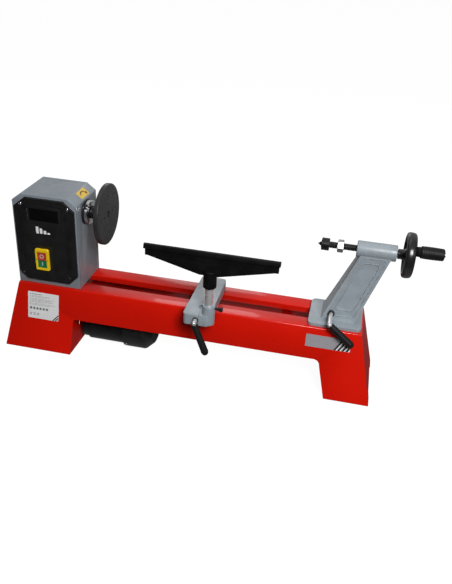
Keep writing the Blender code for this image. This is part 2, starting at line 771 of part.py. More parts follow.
def build_banjo(root):
    shoe = empty("rest_shoe_axis", root, (CAM_X, AXIS_Y, BED_TOP))
    eye_bolt("rest_clamp_bolt", CAM_X, CAM_Z, shoe)
    clamp_shoe("rest_clamp_shoe", CAM_X, shoe)
    clamp_nut("rest_clamp_nut", CAM_X, shoe)

    base = empty("rest_base_axis", shoe, (CAM_X, POST_Y, BED_TOP))
    low = BED_TOP + GAP
    outline = rounded(BANJO_LEFT, BANJO_RIGHT, BANJO_FRONT, BANJO_BACK, 9.0, 3)
    body = prism(outline, "Z", low, BANJO_TOP)
    body = add("rest_base", body, "grey_paint", base, (CAM_X, POST_Y, BED_TOP), 35)
    join(body, rod("Z", (POST_X, POST_Y), low + 0.02, BOSS_TOP, BOSS_R, 24, 1.5))
    cut(body, block(-9.0, 31.0, -36.0, 112.0, 170.0, 201.5))
    cut(body, rod("Z", (POST_X, POST_Y), 170.0, 240.0, POST_R + 0.3, 24))
    cut(body, rod("Y", (CAM_X, CAM_Z), -80.0, -30.0, CAM_R + 0.3, 16))
    cut(body, rod("Y", (CAM_X, CAM_Z), -80.0, BANJO_FRONT + 3.0, 7.4, 16))
    bush = tube("Y", (CAM_X, CAM_Z), BANJO_FRONT - 2.0, BANJO_FRONT + 2.7, 7.1, CAM_R + 0.3, 20)
    add("rest_bush", bush, "black_paint", base, (CAM_X, BANJO_FRONT, CAM_Z), 30)

    lever("rest_lever", base, CAM_X, CAM_Z, BANJO_FRONT, -87.0, 108.0, -21.5, 86.5)

    hold = empty("rest_lock_axis", base, (BANJO_RIGHT, POST_Y, LOCK_Z))
    knob = [
        (POST_X + POST_R + 0.3, 2.2),
        (POST_X + BOSS_R + 1.6, 2.2),
        (POST_X + BOSS_R + 1.6, 3.4),
        (POST_X + BOSS_R + 6.0, 3.6),
        (POST_X + BOSS_R + 14.0, 6.2),
        (POST_X + BOSS_R + 17.0, 6.2),
        (POST_X + BOSS_R + 18.0, 5.4),
    ]
    cut(body, rod("X", (POST_Y, LOCK_Z), POST_X, POST_X + 30.0, 2.5, 10))
    add("rest_lock_knob", turned(knob, "X", (POST_Y, LOCK_Z), 16), "black_plastic", hold,
        (BANJO_RIGHT, POST_Y, LOCK_Z), 30)

    post = empty("rest_post_axis", base, (POST_X, POST_Y, BOSS_TOP))
    origin = (POST_X, POST_Y, BOSS_TOP)
    column = rod("Z", (POST_X, POST_Y), 181.0, 301.0, POST_R, 24, 1.0)
    add("rest_post", column, "chrome", post, origin, 30)
    swing = empty("tool_rest_axis", post, (POST_X, POST_Y, REST_TOP))
    section = [
        (9.0, REST_TOP - 3.0),
        (4.0, REST_TOP),
        (-2.0, REST_TOP - 0.8),
        (-4.5, REST_TOP - 10.0),
        (-4.0, REST_TOP - 11.0),
        (-1.5, REST_TOP - 11.8),
        (-1.0, REST_TOP - 27.0),
        (0.0, REST_TOP - 28.5),
        (6.0, REST_TOP - 28.5),
        (7.5, REST_TOP - 27.0),
    ]
    section = [(POST_Y + y, z) for y, z in section]
    bar = prism(section, "X", POST_X - REST_HALF, POST_X + REST_HALF)
    bar = add("tool_rest", bar, "black_paint", swing, (POST_X, POST_Y, REST_TOP), 20)
    for side in (-1.0, 1.0):
        end = POST_X + side * (REST_HALF + 3.0)
        cut(bar, block(end - 6.0, end + 6.0, -90.0, -40.0, 300.0, REST_TOP - 11.4))
    web = [
        (POST_X - REST_HALF + 6.0, REST_TOP - 26.0),
        (POST_X - 25.1, 304.0),
        (POST_X + 18.1, 304.0),
        (POST_X + REST_HALF - 6.0, REST_TOP - 26.0),
    ]
    join(bar, prism(web, "Y", POST_Y - 3.0, POST_Y + 3.0))
    join(bar, rod("Z", (POST_X, POST_Y), HUB_LOW, 318.0, 15.5, 24, 1.5))
    cut(bar, rod("Z", (POST_X, POST_Y), HUB_LOW - 5.0, 303.0, POST_R + 0.3, 24))


def arm_point(u, v, depth):
    """Point in the slanted arm: u across, v up, depth 0 front to 1 back."""
    z = BASE_TOP - 1.0 + (362.0 - BASE_TOP + 1.0) * v
    left = 292.0 + (364.0 - 292.0) * v
    right = 371.0 + (433.0 - 371.0) * v
    front = 33.0 + (51.0 - 33.0) * v
    back = 109.0 + (88.0 - 109.0) * v
    return (left + (right - left) * u, front + (back - front) * depth, z)


def build_tailstock(root):
    origin = (TAIL_CAM_X, AXIS_Y, BED_TOP)
    hold = empty("tailstock_axis", root, origin)
    low = BED_TOP + GAP
    outline = rounded(BASE_LEFT, BASE_RIGHT, 6.0, 127.6, 12.0, 4)
    body = add("tailstock_casting", prism(outline, "Z", low, BASE_TOP), "grey_paint", hold, origin, 35)
    quad = ((0.0, 0.0), (1.0, 0.0), (1.0, 1.0), (0.0, 1.0))
    arm = hexahedron([arm_point(u, 0.0, d) for u, d in quad], [arm_point(u, 1.0, d) for u, d in quad])
    join(body, arm)
    centre = (AXIS_Y, AXIS_Z)
    join(body, rod("X", centre, BARREL_LEFT, BARREL_RIGHT, BARREL_R, 32, 1.5))
    cut(body, rod("X", centre, BARREL_LEFT - 10.0, BARREL_RIGHT + 10.0, ROD_R + 0.3, 24))
    frame = ((0.2, 0.14), (0.8, 0.14), (0.8, 0.86), (0.2, 0.86))
    above = [arm_point(u, v, -0.15) for u, v in frame]
    floor = [arm_point(u, v, 0.045) for u, v in frame]
    recess = hexahedron(above, floor)
    cut(body, recess)
    cut(body, block(TAIL_CAM_X - 11.5, TAIL_CAM_X + 11.5, 50.0, 84.0, 170.0, 213.0))
    cut(body, rod("Y", (TAIL_CAM_X, TAIL_CAM_Z), 20.0, 92.0, CAM_R + 0.3, 16))
    cut(body, rod("Y", (TAIL_CAM_X, TAIL_CAM_Z), 20.0, 38.5, 8.4, 16))
    bush = tube("Y", (TAIL_CAM_X, TAIL_CAM_Z), 31.0, 38.0, 8.1, CAM_R + 0.3, 20)
    add("tail_bush", bush, "black_paint", hold, (TAIL_CAM_X, 34.0, TAIL_CAM_Z), 30)
    eye_bolt("tail_clamp_bolt", TAIL_CAM_X, TAIL_CAM_Z, hold)
    clamp_shoe("tail_clamp_shoe", TAIL_CAM_X, hold)
    clamp_nut("tail_clamp_nut", TAIL_CAM_X, hold)

    lever("tail_lever", hold, TAIL_CAM_X, TAIL_CAM_Z, 34.0, -18.0, 90.0, -50.5, 78.0)

    quill = empty("quill_axis", hold, (TIP_X, AXIS_Y, AXIS_Z))
    head = [
        (TIP_X, 0.0),
        (TIP_X + 7.5, 5.5),
        (TIP_X + 8.5, 13.6),
        (TIP_X + 9.5, 14.4),
        (TIP_X + 25.5, 14.4),
        (TIP_X + 26.5, 13.4),
        (TIP_X + 26.5, 5.6),
        (TIP_X + 16.0, 5.6),
        (TIP_X + 16.0, 0.0),
    ]
    add("live_centre", turned(head, "X", centre, 24), "black_paint", quill, (TIP_X, AXIS_Y, AXIS_Z), 30)

    screw = empty("handwheel_axis", quill, (WHEEL_X, AXIS_Y, AXIS_Z))
    origin = (WHEEL_X, AXIS_Y, AXIS_Z)
    profile = [
        (TIP_X + 17.0, 5.2),
        (TIP_X + 27.0, 5.2),
        (TIP_X + 27.0, ROD_R - 1.0),
        (TIP_X + 28.0, ROD_R),
        (482.0, ROD_R),
        (483.0, ROD_R - 1.0),
    ]
    add("feed_screw", turned(profile, "X", centre, 24), "black_paint", screw, origin, 30)
    nut = rod("X", centre, 307.0, 321.0, 15.0, 6)
    nut = add("lock_nut", nut, "chrome", screw, origin)
    cut(nut, rod("X", centre, 300.0, 330.0, ROD_R + 0.3, 20))
    wheel = [
        (443.0, ROD_R + 0.3),
        (443.0, 11.5),
        (456.0, 12.5),
        (463.0, 20.0),
        (464.0, 38.0),
        (457.0, 43.0),
        (457.6, WHEEL_R - 2.6),
        (461.0, WHEEL_R),
        (474.0, WHEEL_R),
        (478.0, WHEEL_R - 2.6),
        (479.0, 43.0),
        (472.0, 38.0),
        (471.0, 20.0),
        (481.0, 12.5),
        (481.0, ROD_R + 0.3),
    ]
    wheel = turned(wheel, "X", centre, 32, ring=True)
    wheel = add("handwheel", wheel, "black_plastic", screw, origin, 30)
    axle = [
        (470.0, 4.0),
        (536.0, 4.0),
        (536.5, 3.5),
    ]
    cut(wheel, rod("X", (CRANK_Y, CRANK_Z), 468.0, 490.0, 4.3, 12))
    axle = turned(axle, "X", (CRANK_Y, CRANK_Z), 16)
    add("crank_axle", axle, "steel", screw, (WHEEL_X, CRANK_Y, CRANK_Z), 30)

    crank = empty("crank_axis", screw, (WHEEL_X, CRANK_Y, CRANK_Z))
    grip = [
        (479.6, 4.4),
        (479.6, 11.0),
        (488.0, 11.6),
        (489.5, 13.6),
        (512.0, 14.6),
        (536.0, 13.2),
        (538.5, 11.4),
        (538.5, 4.4),
    ]
    add("crank_grip", turned(grip, "X", (CRANK_Y, CRANK_Z), 20, ring=True), "rubber_black", crank,
        (WHEEL_X, CRANK_Y, CRANK_Z), 30)


def main():
    clear_scene()
    root = empty("lathe_origin", None, (0.0, 0.0, 0.0))
    root.location = (ORIGIN_X * MM, ORIGIN_Y * MM, 0.0)
    build_bed(root)
    build_headstock(root)
    build_spindle(root)
    build_belt(root)
    build_motor(root)
    build_door(root)
    build_banjo(root)
    build_tailstock(root)


main()
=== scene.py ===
"""Bench wood lathe: detailed pieces, materials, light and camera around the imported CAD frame."""

from math import cos, pi, radians, sin

import bmesh
import bpy
from mathutils import Matrix, Vector


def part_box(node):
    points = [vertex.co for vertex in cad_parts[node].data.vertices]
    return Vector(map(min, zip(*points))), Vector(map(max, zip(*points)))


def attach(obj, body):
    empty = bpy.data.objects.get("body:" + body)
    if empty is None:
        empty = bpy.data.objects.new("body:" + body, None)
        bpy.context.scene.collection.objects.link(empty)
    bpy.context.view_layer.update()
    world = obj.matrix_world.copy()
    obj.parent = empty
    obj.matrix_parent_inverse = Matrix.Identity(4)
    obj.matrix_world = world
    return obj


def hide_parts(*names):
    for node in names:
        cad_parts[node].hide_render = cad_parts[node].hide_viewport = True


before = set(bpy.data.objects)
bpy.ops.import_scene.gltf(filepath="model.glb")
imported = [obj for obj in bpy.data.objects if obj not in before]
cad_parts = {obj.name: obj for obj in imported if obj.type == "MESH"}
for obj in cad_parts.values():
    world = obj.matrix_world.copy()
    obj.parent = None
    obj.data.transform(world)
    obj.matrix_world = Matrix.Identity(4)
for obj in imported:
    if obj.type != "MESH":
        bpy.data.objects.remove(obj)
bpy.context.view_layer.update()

MM = 0.001
SCENE = bpy.context.scene
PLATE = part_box("faceplate")

# Design millimetres: x and y run from the design origin, which the frame's own boxes place.
FACEPLATE_X = -247.6
COLLAR_R = 29.0
AXIS_Y = 66.8
AXIS_Z = 364.6
ORIGIN = Vector((
    PLATE[1][0] - FACEPLATE_X * MM,
    (PLATE[0][1] + PLATE[1][1]) / 2 - AXIS_Y * MM,
    0.0,
))


# ---------------------------------------------------------------- mesh helpers
def outward(bm):
    """Point every face away from the inside."""
    bmesh.ops.recalc_face_normals(bm, faces=bm.faces)
    return bm


def as_object(name, bm):
    """Link a mesh under construction into the scene as an object."""
    mesh = bpy.data.meshes.new(name)
    bm.to_mesh(mesh)
    bm.free()
    obj = bpy.data.objects.new(name, mesh)
    SCENE.collection.objects.link(obj)
    return obj


def shade(mesh, smooth):
    """Smooth shading, with edges sharper than the angle kept crisp."""
    mesh.shade_smooth()
    mesh.set_sharp_from_angle(angle=radians(smooth))


def round_edges(obj, width, segments, angle):
    """Small rounding on the edges sharper than the angle."""
    mod = obj.modifiers.new("edges", "BEVEL")
    mod.width = width * MM
    mod.segments = segments
    mod.limit_method = "ANGLE"
    mod.angle_limit = radians(angle)


def make(name, bm, mat, body, nodes=(), smooth=30.0, bevel=0.0, segments=3, angle=35.0):
    """Turn a design-millimetre mesh into a finished piece riding on a CAD body."""
    outward(bm)
    for vert in bm.verts:
        vert.co = vert.co * MM + ORIGIN
    obj = as_object(name, bm)
    obj.data.materials.append(mat)
    shade(obj.data, smooth)
    if bevel > 0.0:
        round_edges(obj, bevel, segments, angle)
        apply(obj)
        shade(obj.data, smooth)
    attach(obj, body)
    if nodes:
        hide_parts(*nodes)


def apply(obj):
    """Fix the modifiers into the mesh."""
    graph = bpy.context.evaluated_depsgraph_get()
    graph.update()
    mesh = bpy.data.meshes.new_from_object(obj.evaluated_get(graph))
    obj.modifiers.clear()
    obj.data = mesh


def boolean(bm, tools, operation="DIFFERENCE"):
    """Cut or join solids into bm (design millimetres) and return the new mesh."""
    obj = as_object("work", outward(bm))
    helpers = []
    for tool in tools:
        helper = as_object("tool", outward(tool))
        helpers.append(helper)
        mod = obj.modifiers.new("b", "BOOLEAN")
        mod.operation = operation
        mod.solver = "EXACT"
        mod.object = helper
    apply(obj)
    out = bmesh.new()
    out.from_mesh(obj.data)
    for item in [obj] + helpers:
        bpy.data.objects.remove(item, do_unlink=True)
    bmesh.ops.remove_doubles(out, verts=out.verts, dist=0.005)
    bmesh.ops.dissolve_limit(out, angle_limit=radians(0.5), verts=out.verts, edges=out.edges)
    return out


def skin(bm, rings, closed=False):
    """Join rings of equally many points with four-sided faces; closed also joins the last to the first."""
    for one, two in zip(rings, rings[1:] + rings[:1] if closed else rings[1:]):
        for k in range(len(one)):
            m = (k + 1) % len(one)
            bm.faces.new((one[k], one[m], two[m], two[k]))


def loft(first, last):
    """Closed solid between two outlines of equally many points."""
    bm = bmesh.new()
    ends = [[bm.verts.new(point) for point in outline] for outline in (first, last)]
    for end in ends:
        bm.faces.new(end)
    skin(bm, ends)
    return bm


def prism(points, axis, low, high):
    """Outline pushed along an axis from low to high."""
    where = {
        "X": lambda a, b, d: (d, a, b),
        "Y": lambda a, b, d: (a, d, b),
        "Z": lambda a, b, d: (a, b, d),
    }[axis]
    return loft([where(a, b, low) for a, b in points], [where(a, b, high) for a, b in points])


def block(x0, x1, y0, y1, z0, z1):
    return prism([(x0, y0), (x1, y0), (x1, y1), (x0, y1)], "Z", z0, z1)


def around(centre, radius, degrees):
    """Point at an angle on a circle."""
    a = radians(degrees)
    return (centre[0] + radius * cos(a), centre[1] + radius * sin(a))


def rounded(x0, x1, y0, y1, radius, steps=6):
    """Rectangle outline with rounded corners."""
    out = []
    corners = ((x1, y1, 0.0), (x0, y1, 90.0), (x0, y0, 180.0), (x1, y0, 270.0))
    for cx, cy, start in corners:
        ox = cx - radius if cx == x1 else cx + radius
        oy = cy - radius if cy == y1 else cy + radius
        out += [around((ox, oy), radius, start + 90.0 * k / steps) for k in range(steps + 1)]
    return out


def turned(profile, axis, centre, steps=48, ring=False):
    spin = {
        "X": lambda a, r, c, s: (a, centre[0] + r * c, centre[1] + r * s),
        "Y": lambda a, r, c, s: (centre[0] + r * c, a, centre[1] + r * s),
        "Z": lambda a, r, c, s: (centre[0] + r * c, centre[1] + r * s, a),
    }[axis]
    bm = bmesh.new()
    rows = []
    for along, radius in profile:
        if radius <= 0.0:
            rows.append([bm.verts.new(spin(along, 0.0, 1.0, 0.0))])
            continue
        row = []
        for k in range(steps):
            a = 2.0 * pi * k / steps
            row.append(bm.verts.new(spin(along, radius, cos(a), sin(a))))
        rows.append(row)
    pairs = list(zip(rows, rows[1:]))
    if ring:
        pairs.append((rows[-1], rows[0]))
    for one, two in pairs:
        for k in range(steps):
            m = (k + 1) % steps
            if len(one) == 1:
                bm.faces.new((one[0], two[k], two[m]))
            elif len(two) == 1:
                bm.faces.new((one[k], one[m], two[0]))
            else:
                bm.faces.new((one[k], one[m], two[m], two[k]))
    if not ring:
        for row in (rows[0], rows[-1]):
            if len(row) > 1:
                bm.faces.new(row)
    return bm


def tube(axis, centre, low, high, outer, inner, steps=48):
    profile = [(low, inner), (low, outer), (high, outer), (high, inner)]
    return turned(profile, axis, centre, steps, ring=True)


def rod(axis, centre, low, high, radius, steps=48, chamfer=0.0):
    if chamfer <= 0.0:
        return turned([(low, radius), (high, radius)], axis, centre, steps)
    profile = [
        (low, radius - chamfer), (low + chamfer, radius), (high - chamfer, radius),
        (high, radius - chamfer),
    ]
    return turned(profile, axis, centre, steps)


def hex_nut(axis, centre, low, high, radius, bore=0.0):
    """Hexagonal nut or bolt head with turned, chamfered ends."""
    inner = radius * 0.84
    body = rod(axis, centre, low, high, radius, 6)
    if bore > 0.0:
        body = boolean(body, [rod(axis, centre, low - 5.0, high + 5.0, bore, 32)])
    cone = [
        (low - 0.001, inner), (low + (radius - inner) * 0.5, radius * 1.02),
        (high - (radius - inner) * 0.5, radius * 1.02), (high + 0.001, inner),
    ]
    return boolean(body, [turned(cone, axis, centre, 48)], "INTERSECT")


def merge(*parts):
    """Put several closed solids into one mesh."""
    out = parts[0]
    for part in parts[1:]:
        mesh = bpy.data.meshes.new("part")
        part.to_mesh(mesh)
        part.free()
        out.from_mesh(mesh)
        bpy.data.meshes.remove(mesh)
    return out


def moved(bm, matrix):
    bmesh.ops.transform(bm, matrix=matrix, verts=bm.verts)
    return bm


def on_radius(bm, x, centre, reach, degrees):
    """Stand a piece drawn along Z on a radius round the line along X through centre."""
    a = radians(degrees)
    out = Vector((0.0, cos(a), sin(a)))
    spot = Vector((x, *centre)) + out * reach
    return moved(bm, Matrix.Translation(spot) @ out.to_track_quat("Z", "X").to_matrix().to_4x4())


# ---------------------------------------------------------------- materials
ROUGH_SCALE = 90.0
RELIEF_DEPTH = 0.0004


def calc(tree, operation, *values):
    """Add a math node; a plain number is set on its socket, an output is linked to it."""
    node = tree.nodes.new("ShaderNodeMath")
    node.operation = operation
    for socket, value in zip(node.inputs, values):
        if isinstance(value, float):
            socket.default_value = value
        else:
            tree.links.new(value, socket)
    return node.outputs[0]


def map_range(tree, source, low, high, start, end, kind="LINEAR"):
    """Map a value from the range low to high onto the range start to end."""
    node = tree.nodes.new("ShaderNodeMapRange")
    node.interpolation_type = kind
    for socket, value in (("From Min", low), ("From Max", high), ("To Min", start), ("To Max", end)):
        node.inputs[socket].default_value = value
    tree.links.new(source, node.inputs["Value"])
    return node.outputs["Result"]


def material(name, colour, rough, metal=0.0, coat=0.0, coat_rough=0.05, tint=0.06, tint_scale=40.0,
             rough_swing=0.06, bump=0.05, bump_scale=500.0, bump_detail=3.0, scratches=0.0, rings=None,
             specular=0.5):
    """Procedural finish: colour drift, roughness drift, fine relief, and optional marks."""
    mat = bpy.data.materials.new(name)
    mat.use_nodes = True
    tree = mat.node_tree
    nodes = tree.nodes
    links = tree.links
    shader = nodes["Principled BSDF"]
    shader.inputs["Metallic"].default_value = metal
    shader.inputs["Coat Weight"].default_value = coat
    shader.inputs["Coat Roughness"].default_value = coat_rough
    shader.inputs["Specular IOR Level"].default_value = specular
    coords = nodes.new("ShaderNodeTexCoord").outputs["Object"]

    def noise(scale, detail, source=coords):
        node = nodes.new("ShaderNodeTexNoise")
        node.inputs["Scale"].default_value = scale
        node.inputs["Detail"].default_value = detail
        links.new(source, node.inputs["Vector"])
        return node.outputs["Fac"]

    base = nodes.new("ShaderNodeMix")
    base.data_type = "RGBA"
    base.inputs[6].default_value = (*[max(0.0, c * (1.0 - tint)) for c in colour], 1.0)
    base.inputs[7].default_value = (*[min(1.0, c * (1.0 + tint) + tint * 0.004) for c in colour], 1.0)
    links.new(map_range(tree, noise(tint_scale, 5.0), 0.35, 0.65, 0.0, 1.0), base.inputs[0])
    links.new(base.outputs[2], shader.inputs["Base Color"])

    smoothest = max(0.03, rough - rough_swing)
    level = map_range(tree, noise(ROUGH_SCALE, 6.0), 0.3, 0.7, smoothest, rough + rough_swing)
    links.new(level, shader.inputs["Roughness"])

    height = noise(bump_scale, bump_detail)
    if scratches > 0.0:
        stretch = nodes.new("ShaderNodeMapping")
        stretch.inputs["Scale"].default_value = (14.0, 420.0, 420.0)
        stretch.inputs["Rotation"].default_value = (0.1, 0.2, 0.3)
        links.new(coords, stretch.inputs["Vector"])
        height = calc(tree, "MULTIPLY_ADD", noise(3.0, 3.0, stretch.outputs["Vector"]), scratches, height)
    if rings:
        height = ring_height(tree, coords, height, *rings)
    relief = nodes.new("ShaderNodeBump")
    relief.inputs["Strength"].default_value = bump
    relief.inputs["Distance"].default_value = RELIEF_DEPTH
    links.new(height, relief.inputs["Height"])
    links.new(relief.outputs["Normal"], shader.inputs["Normal"])
    return mat


def ring_height(tree, coords, height, spacing, amount):
    """Turning marks round the spindle line, added to a height."""
    split = tree.nodes.new("ShaderNodeSeparateXYZ")
    tree.links.new(coords, split.inputs[0])
    across = calc(tree, "SUBTRACT", split.outputs["Y"], ORIGIN.y + AXIS_Y * MM)
    up = calc(tree, "SUBTRACT", split.outputs["Z"], AXIS_Z * MM)
    squares = calc(tree, "ADD", calc(tree, "MULTIPLY", across, across), calc(tree, "MULTIPLY", up, up))
    wave = calc(tree, "MULTIPLY", calc(tree, "SQRT", squares), 2.0 * pi / (spacing * MM))
    return calc(tree, "MULTIPLY_ADD", calc(tree, "SINE", wave), amount, height)


RED = material("enamel_red", (0.60, 0.007, 0.0015), 0.30, coat=0.35, coat_rough=0.04, tint=0.03,
    tint_scale=9.0, bump=0.02, bump_scale=260.0, rough_swing=0.012, specular=0.15)
GREY = material("enamel_grey", (0.205, 0.235, 0.262), 0.40, coat=0.12, coat_rough=0.25, tint=0.05,
    tint_scale=25.0, bump=0.16, bump_scale=900.0, rough_swing=0.07)
CAST_GREY = material("enamel_grey_cast", (0.265, 0.305, 0.335), 0.42, coat=0.10, coat_rough=0.25, tint=0.07,
                     tint_scale=35.0, bump=0.35, bump_scale=420.0, bump_detail=5.0, rough_swing=0.08)
BLACK_PAINT = material("paint_black", (0.006, 0.006, 0.0065), 0.36, tint=0.25, bump=0.30, bump_scale=600.0,
                       bump_detail=5.0, rough_swing=0.08, specular=0.3)
REST_BLACK = material("paint_black_satin", (0.0035, 0.0035, 0.0038), 0.5, tint=0.25, bump=0.35,
    bump_scale=600.0, bump_detail=5.0, rough_swing=0.08, specular=0.12)
BLACK_PLASTIC = material("plastic_black", (0.009, 0.009, 0.010), 0.42, tint=0.2, bump=0.25, bump_scale=1400.0,
                         rough_swing=0.06, specular=0.4)
GLOSS_BLACK = material("plastic_black_gloss", (0.012, 0.012, 0.013), 0.22, tint=0.2, bump=0.05,
    bump_scale=700.0, rough_swing=0.05)
GRIP = material("grip_black", (0.006, 0.006, 0.006), 0.5, tint=0.3, bump=0.3, bump_scale=1600.0,
    rough_swing=0.06, specular=0.25)
CHROME = material("chrome_plate", (0.70, 0.70, 0.72), 0.12, metal=1.0, tint=0.03, bump=0.04, bump_scale=260.0,
                  rough_swing=0.05, scratches=0.15)
STEEL = material("steel_turned", (0.50, 0.50, 0.51), 0.28, metal=1.0, tint=0.05, bump=0.12, bump_scale=300.0,
                 rough_swing=0.08, scratches=0.6)
POST_STEEL = material("steel_post", (0.70, 0.70, 0.71), 0.30, metal=0.6, tint=0.04, bump=0.08,
    bump_scale=300.0, rough_swing=0.07, scratches=0.5)
ZINC = material("zinc_plate", (0.42, 0.42, 0.41), 0.42, metal=1.0, tint=0.05, tint_scale=120.0, bump=0.1,
                bump_scale=500.0, rough_swing=0.06)
IRON = material("iron_turned", (0.026, 0.026, 0.027), 0.36, metal=0.1, specular=0.3, tint=0.12,
    tint_scale=60.0, bump=0.22, bump_scale=900.0, rough_swing=0.08, rings=(1.1, 0.35))
IRON_DARK = material("iron_black", (0.020, 0.020, 0.021), 0.38, metal=0.3, tint=0.15, bump=0.2,
    bump_scale=700.0)
YELLOW = material("plastic_yellow", (0.83, 0.56, 0.008), 0.33, tint=0.04, bump=0.06, bump_scale=900.0)
RED_KEY = material("plastic_red", (0.46, 0.045, 0.018), 0.38, tint=0.06, bump=0.15, bump_scale=1500.0)
GREEN_KEY = material("plastic_green", (0.006, 0.17, 0.062), 0.38, tint=0.06, bump=0.15, bump_scale=1500.0)
# The window pane's near-black colour is painted shade: it stands for the dark depth behind the speed window,
# not a tint of the glass.
WINDOW_PAINTED_SHADE = material("window_painted_shade", (0.003, 0.003, 0.0035), 0.12, specular=0.3, tint=0.1, bump=0.02,
    bump_scale=300.0, rough_swing=0.03)
BELT = material("belt_rubber", (0.014, 0.014, 0.014), 0.65, tint=0.2, bump=0.4, bump_scale=1800.0)
WHITE_INK = material("ink_white", (0.80, 0.80, 0.80), 0.45, tint=0.02, bump=0.03, bump_scale=900.0)
GREY_INK = material("ink_grey", (0.16, 0.16, 0.17), 0.45, tint=0.05, bump=0.03, bump_scale=900.0)
LABEL_WHITE = material("vinyl_white", (0.74, 0.74, 0.745), 0.36, tint=0.02, bump=0.05, bump_scale=300.0)
LABEL_GREY = material("vinyl_grey", (0.30, 0.29, 0.31), 0.36, tint=0.03, bump=0.05, bump_scale=300.0)
LABEL_BLACK = material("vinyl_black", (0.018, 0.018, 0.019), 0.36, tint=0.05, bump=0.05, bump_scale=300.0)
LABEL_YELLOW = material("vinyl_yellow", (0.66, 0.44, 0.045), 0.38, tint=0.04, bump=0.05, bump_scale=300.0)
LABEL_BROWN = material("ink_brown", (0.10, 0.05, 0.012), 0.4, tint=0.05, bump=0.05, bump_scale=300.0)


def repaint(node, mat):
    """Give a CAD node that stays in view its finished material."""
    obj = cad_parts[node]
    obj.data.materials.clear()
    obj.data.materials.append(mat)


# ---------------------------------------------------------------- bed
BED_TOP = 178.0
BED_DEPTH = 133.7
BED_SKIRT = 98.9
SHEET = 3.0
GAP = 0.3
TOP_LEFT = -467.4
TOP_RIGHT = 392.5
FOOT_LEFT = -506.2
FOOT_RIGHT = 435.9
LEG_LEFT_IN = -327.3
LEG_LEFT_IN_TOP = -321.1
LEG_RIGHT_IN = 325.8
LEG_RIGHT_IN_TOP = 301.7
SPLAY = 32.5
RAIL = 43.3
LIP_DROP = 16.0
BEND = 3.5
FOOT_FLANGE = 26.0


def between(low, high, z):
    return low + (high - low) * z / BED_TOP


def splay(z):
    return -SPLAY * (BED_TOP - z) / BED_TOP


def bed_panel(name, node, rear):
    """Folded sheet side with rounded bends, fillets at the legs and holed foot flanges."""
    bm = bmesh.new()

    def vert(x, y, z):
        return bm.verts.new((x, BED_DEPTH - y if rear else y, z))

    def row(y, z, inset):
        left = between(FOOT_LEFT, TOP_LEFT, z) + inset
        right = between(FOOT_RIGHT, TOP_RIGHT, z) - inset
        return [vert(left, y, z), vert(right, y, z)]

    rows = [row(RAIL, BED_TOP - LIP_DROP, 12.0)]
    for k in range(7):
        a = radians(90.0 * k / 6)
        inset = 8.0 * (1.0 - k / 6.0)
        rows.append(row(RAIL - BEND + BEND * cos(a), BED_TOP - BEND + BEND * sin(a), inset))
    for k in range(7):
        a = radians(90.0 + 80.0 * k / 6)
        rows.append(row(BEND + BEND * cos(a) - 0.12 * k / 6, BED_TOP - BEND + BEND * sin(a), 0.0))
    rows.append(row(splay(BED_TOP - BEND - 1.2), BED_TOP - BEND - 1.2, 0.0))
    for one, two in zip(rows, rows[1:]):
        bm.faces.new((one[0], one[1], two[1], two[0]))
    outline = [rows[-1][0], rows[-1][1]]
    low = BEND
    fold = {}

    def point(x, z):
        return vert(x, splay(z), z)

    fold["ro"] = point(between(FOOT_RIGHT, TOP_RIGHT, low), low)
    fold["ri"] = point(LEG_RIGHT_IN, low)
    outline += [fold["ro"], fold["ri"]]
    fillet = 15.0
    lean = (LEG_RIGHT_IN - LEG_RIGHT_IN_TOP) / BED_SKIRT
    for k in range(9):
        a = radians(90.0 * k / 8)
        x = LEG_RIGHT_IN_TOP + lean * fillet - fillet * (1.0 - cos(a))
        outline.append(point(x, BED_SKIRT - fillet + fillet * sin(a)))
    fillet = 6.0
    for k in range(6):
        a = radians(90.0 - 90.0 * k / 5)
        x = LEG_LEFT_IN_TOP + fillet * (1.0 - cos(a))
        outline.append(point(x, BED_SKIRT - fillet + fillet * sin(a)))
    fold["li"] = point(LEG_LEFT_IN, low)
    fold["lo"] = point(between(FOOT_LEFT, TOP_LEFT, low), low)
    outline += [fold["li"], fold["lo"]]
    bm.faces.new(outline)
    for side in ("l", "r"):
        before = [fold[side + "o"], fold[side + "i"]]
        inward = 1.0 if side == "l" else -1.0
        steps = [(BEND - BEND * cos(radians(18.0 * k)), BEND - BEND * sin(radians(18.0 * k)), 1.0 + 0.6 * k)
                 for k in range(1, 6)]
        steps.append((FOOT_FLANGE, 0.0, 8.0))
        for reach, z, inset in steps:
            now = [
                vert(before[0].co.x + inward * (inset - 1.0) * 0.35, -SPLAY + reach, z),
                vert(before[1].co.x - inward * (inset - 1.0) * 0.35, -SPLAY + reach, z),
            ]
            bm.faces.new((before[0], before[1], now[1], now[0]))
            before = now
    obj = as_object("sheet", outward(bm))
    mesh = obj.data
    mod = obj.modifiers.new("sheet", "SOLIDIFY")
    mod.thickness = SHEET
    mod.offset = -1.0
    mod.use_even_offset = True
    # The sheet grows inwards: towards the inside of the bed.
    top = max(mesh.polygons, key=lambda p: p.area)
    facing = top.normal.y * (1.0 if rear else -1.0)
    if facing < 0.0:
        mesh.flip_normals()
    apply(obj)
    solid = bmesh.new()
    solid.from_mesh(obj.data)
    bpy.data.objects.remove(obj, do_unlink=True)
    holes = []
    for x in (-470.0, -360.0, 350.0, 408.0):
        y = -SPLAY + 16.0
        y = BED_DEPTH - y if rear else y
        holes.append(rod("Z", (x, y), -5.0, 12.0, 4.2, 24))
    solid = boolean(solid, holes)
    make(name, solid, RED, "bed", (node,), smooth=25.0, bevel=0.5, segments=2, angle=60.0)


def build_bed():
    bed_panel("bed_sheet_front", "bed_front_panel", False)
    bed_panel("bed_sheet_rear", "bed_rear_panel", True)
    for node in ("end_plate_left", "end_plate_right", "motor_side_plate", "bed_tie_left", "bed_tie_right"):
        repaint(node, RED)


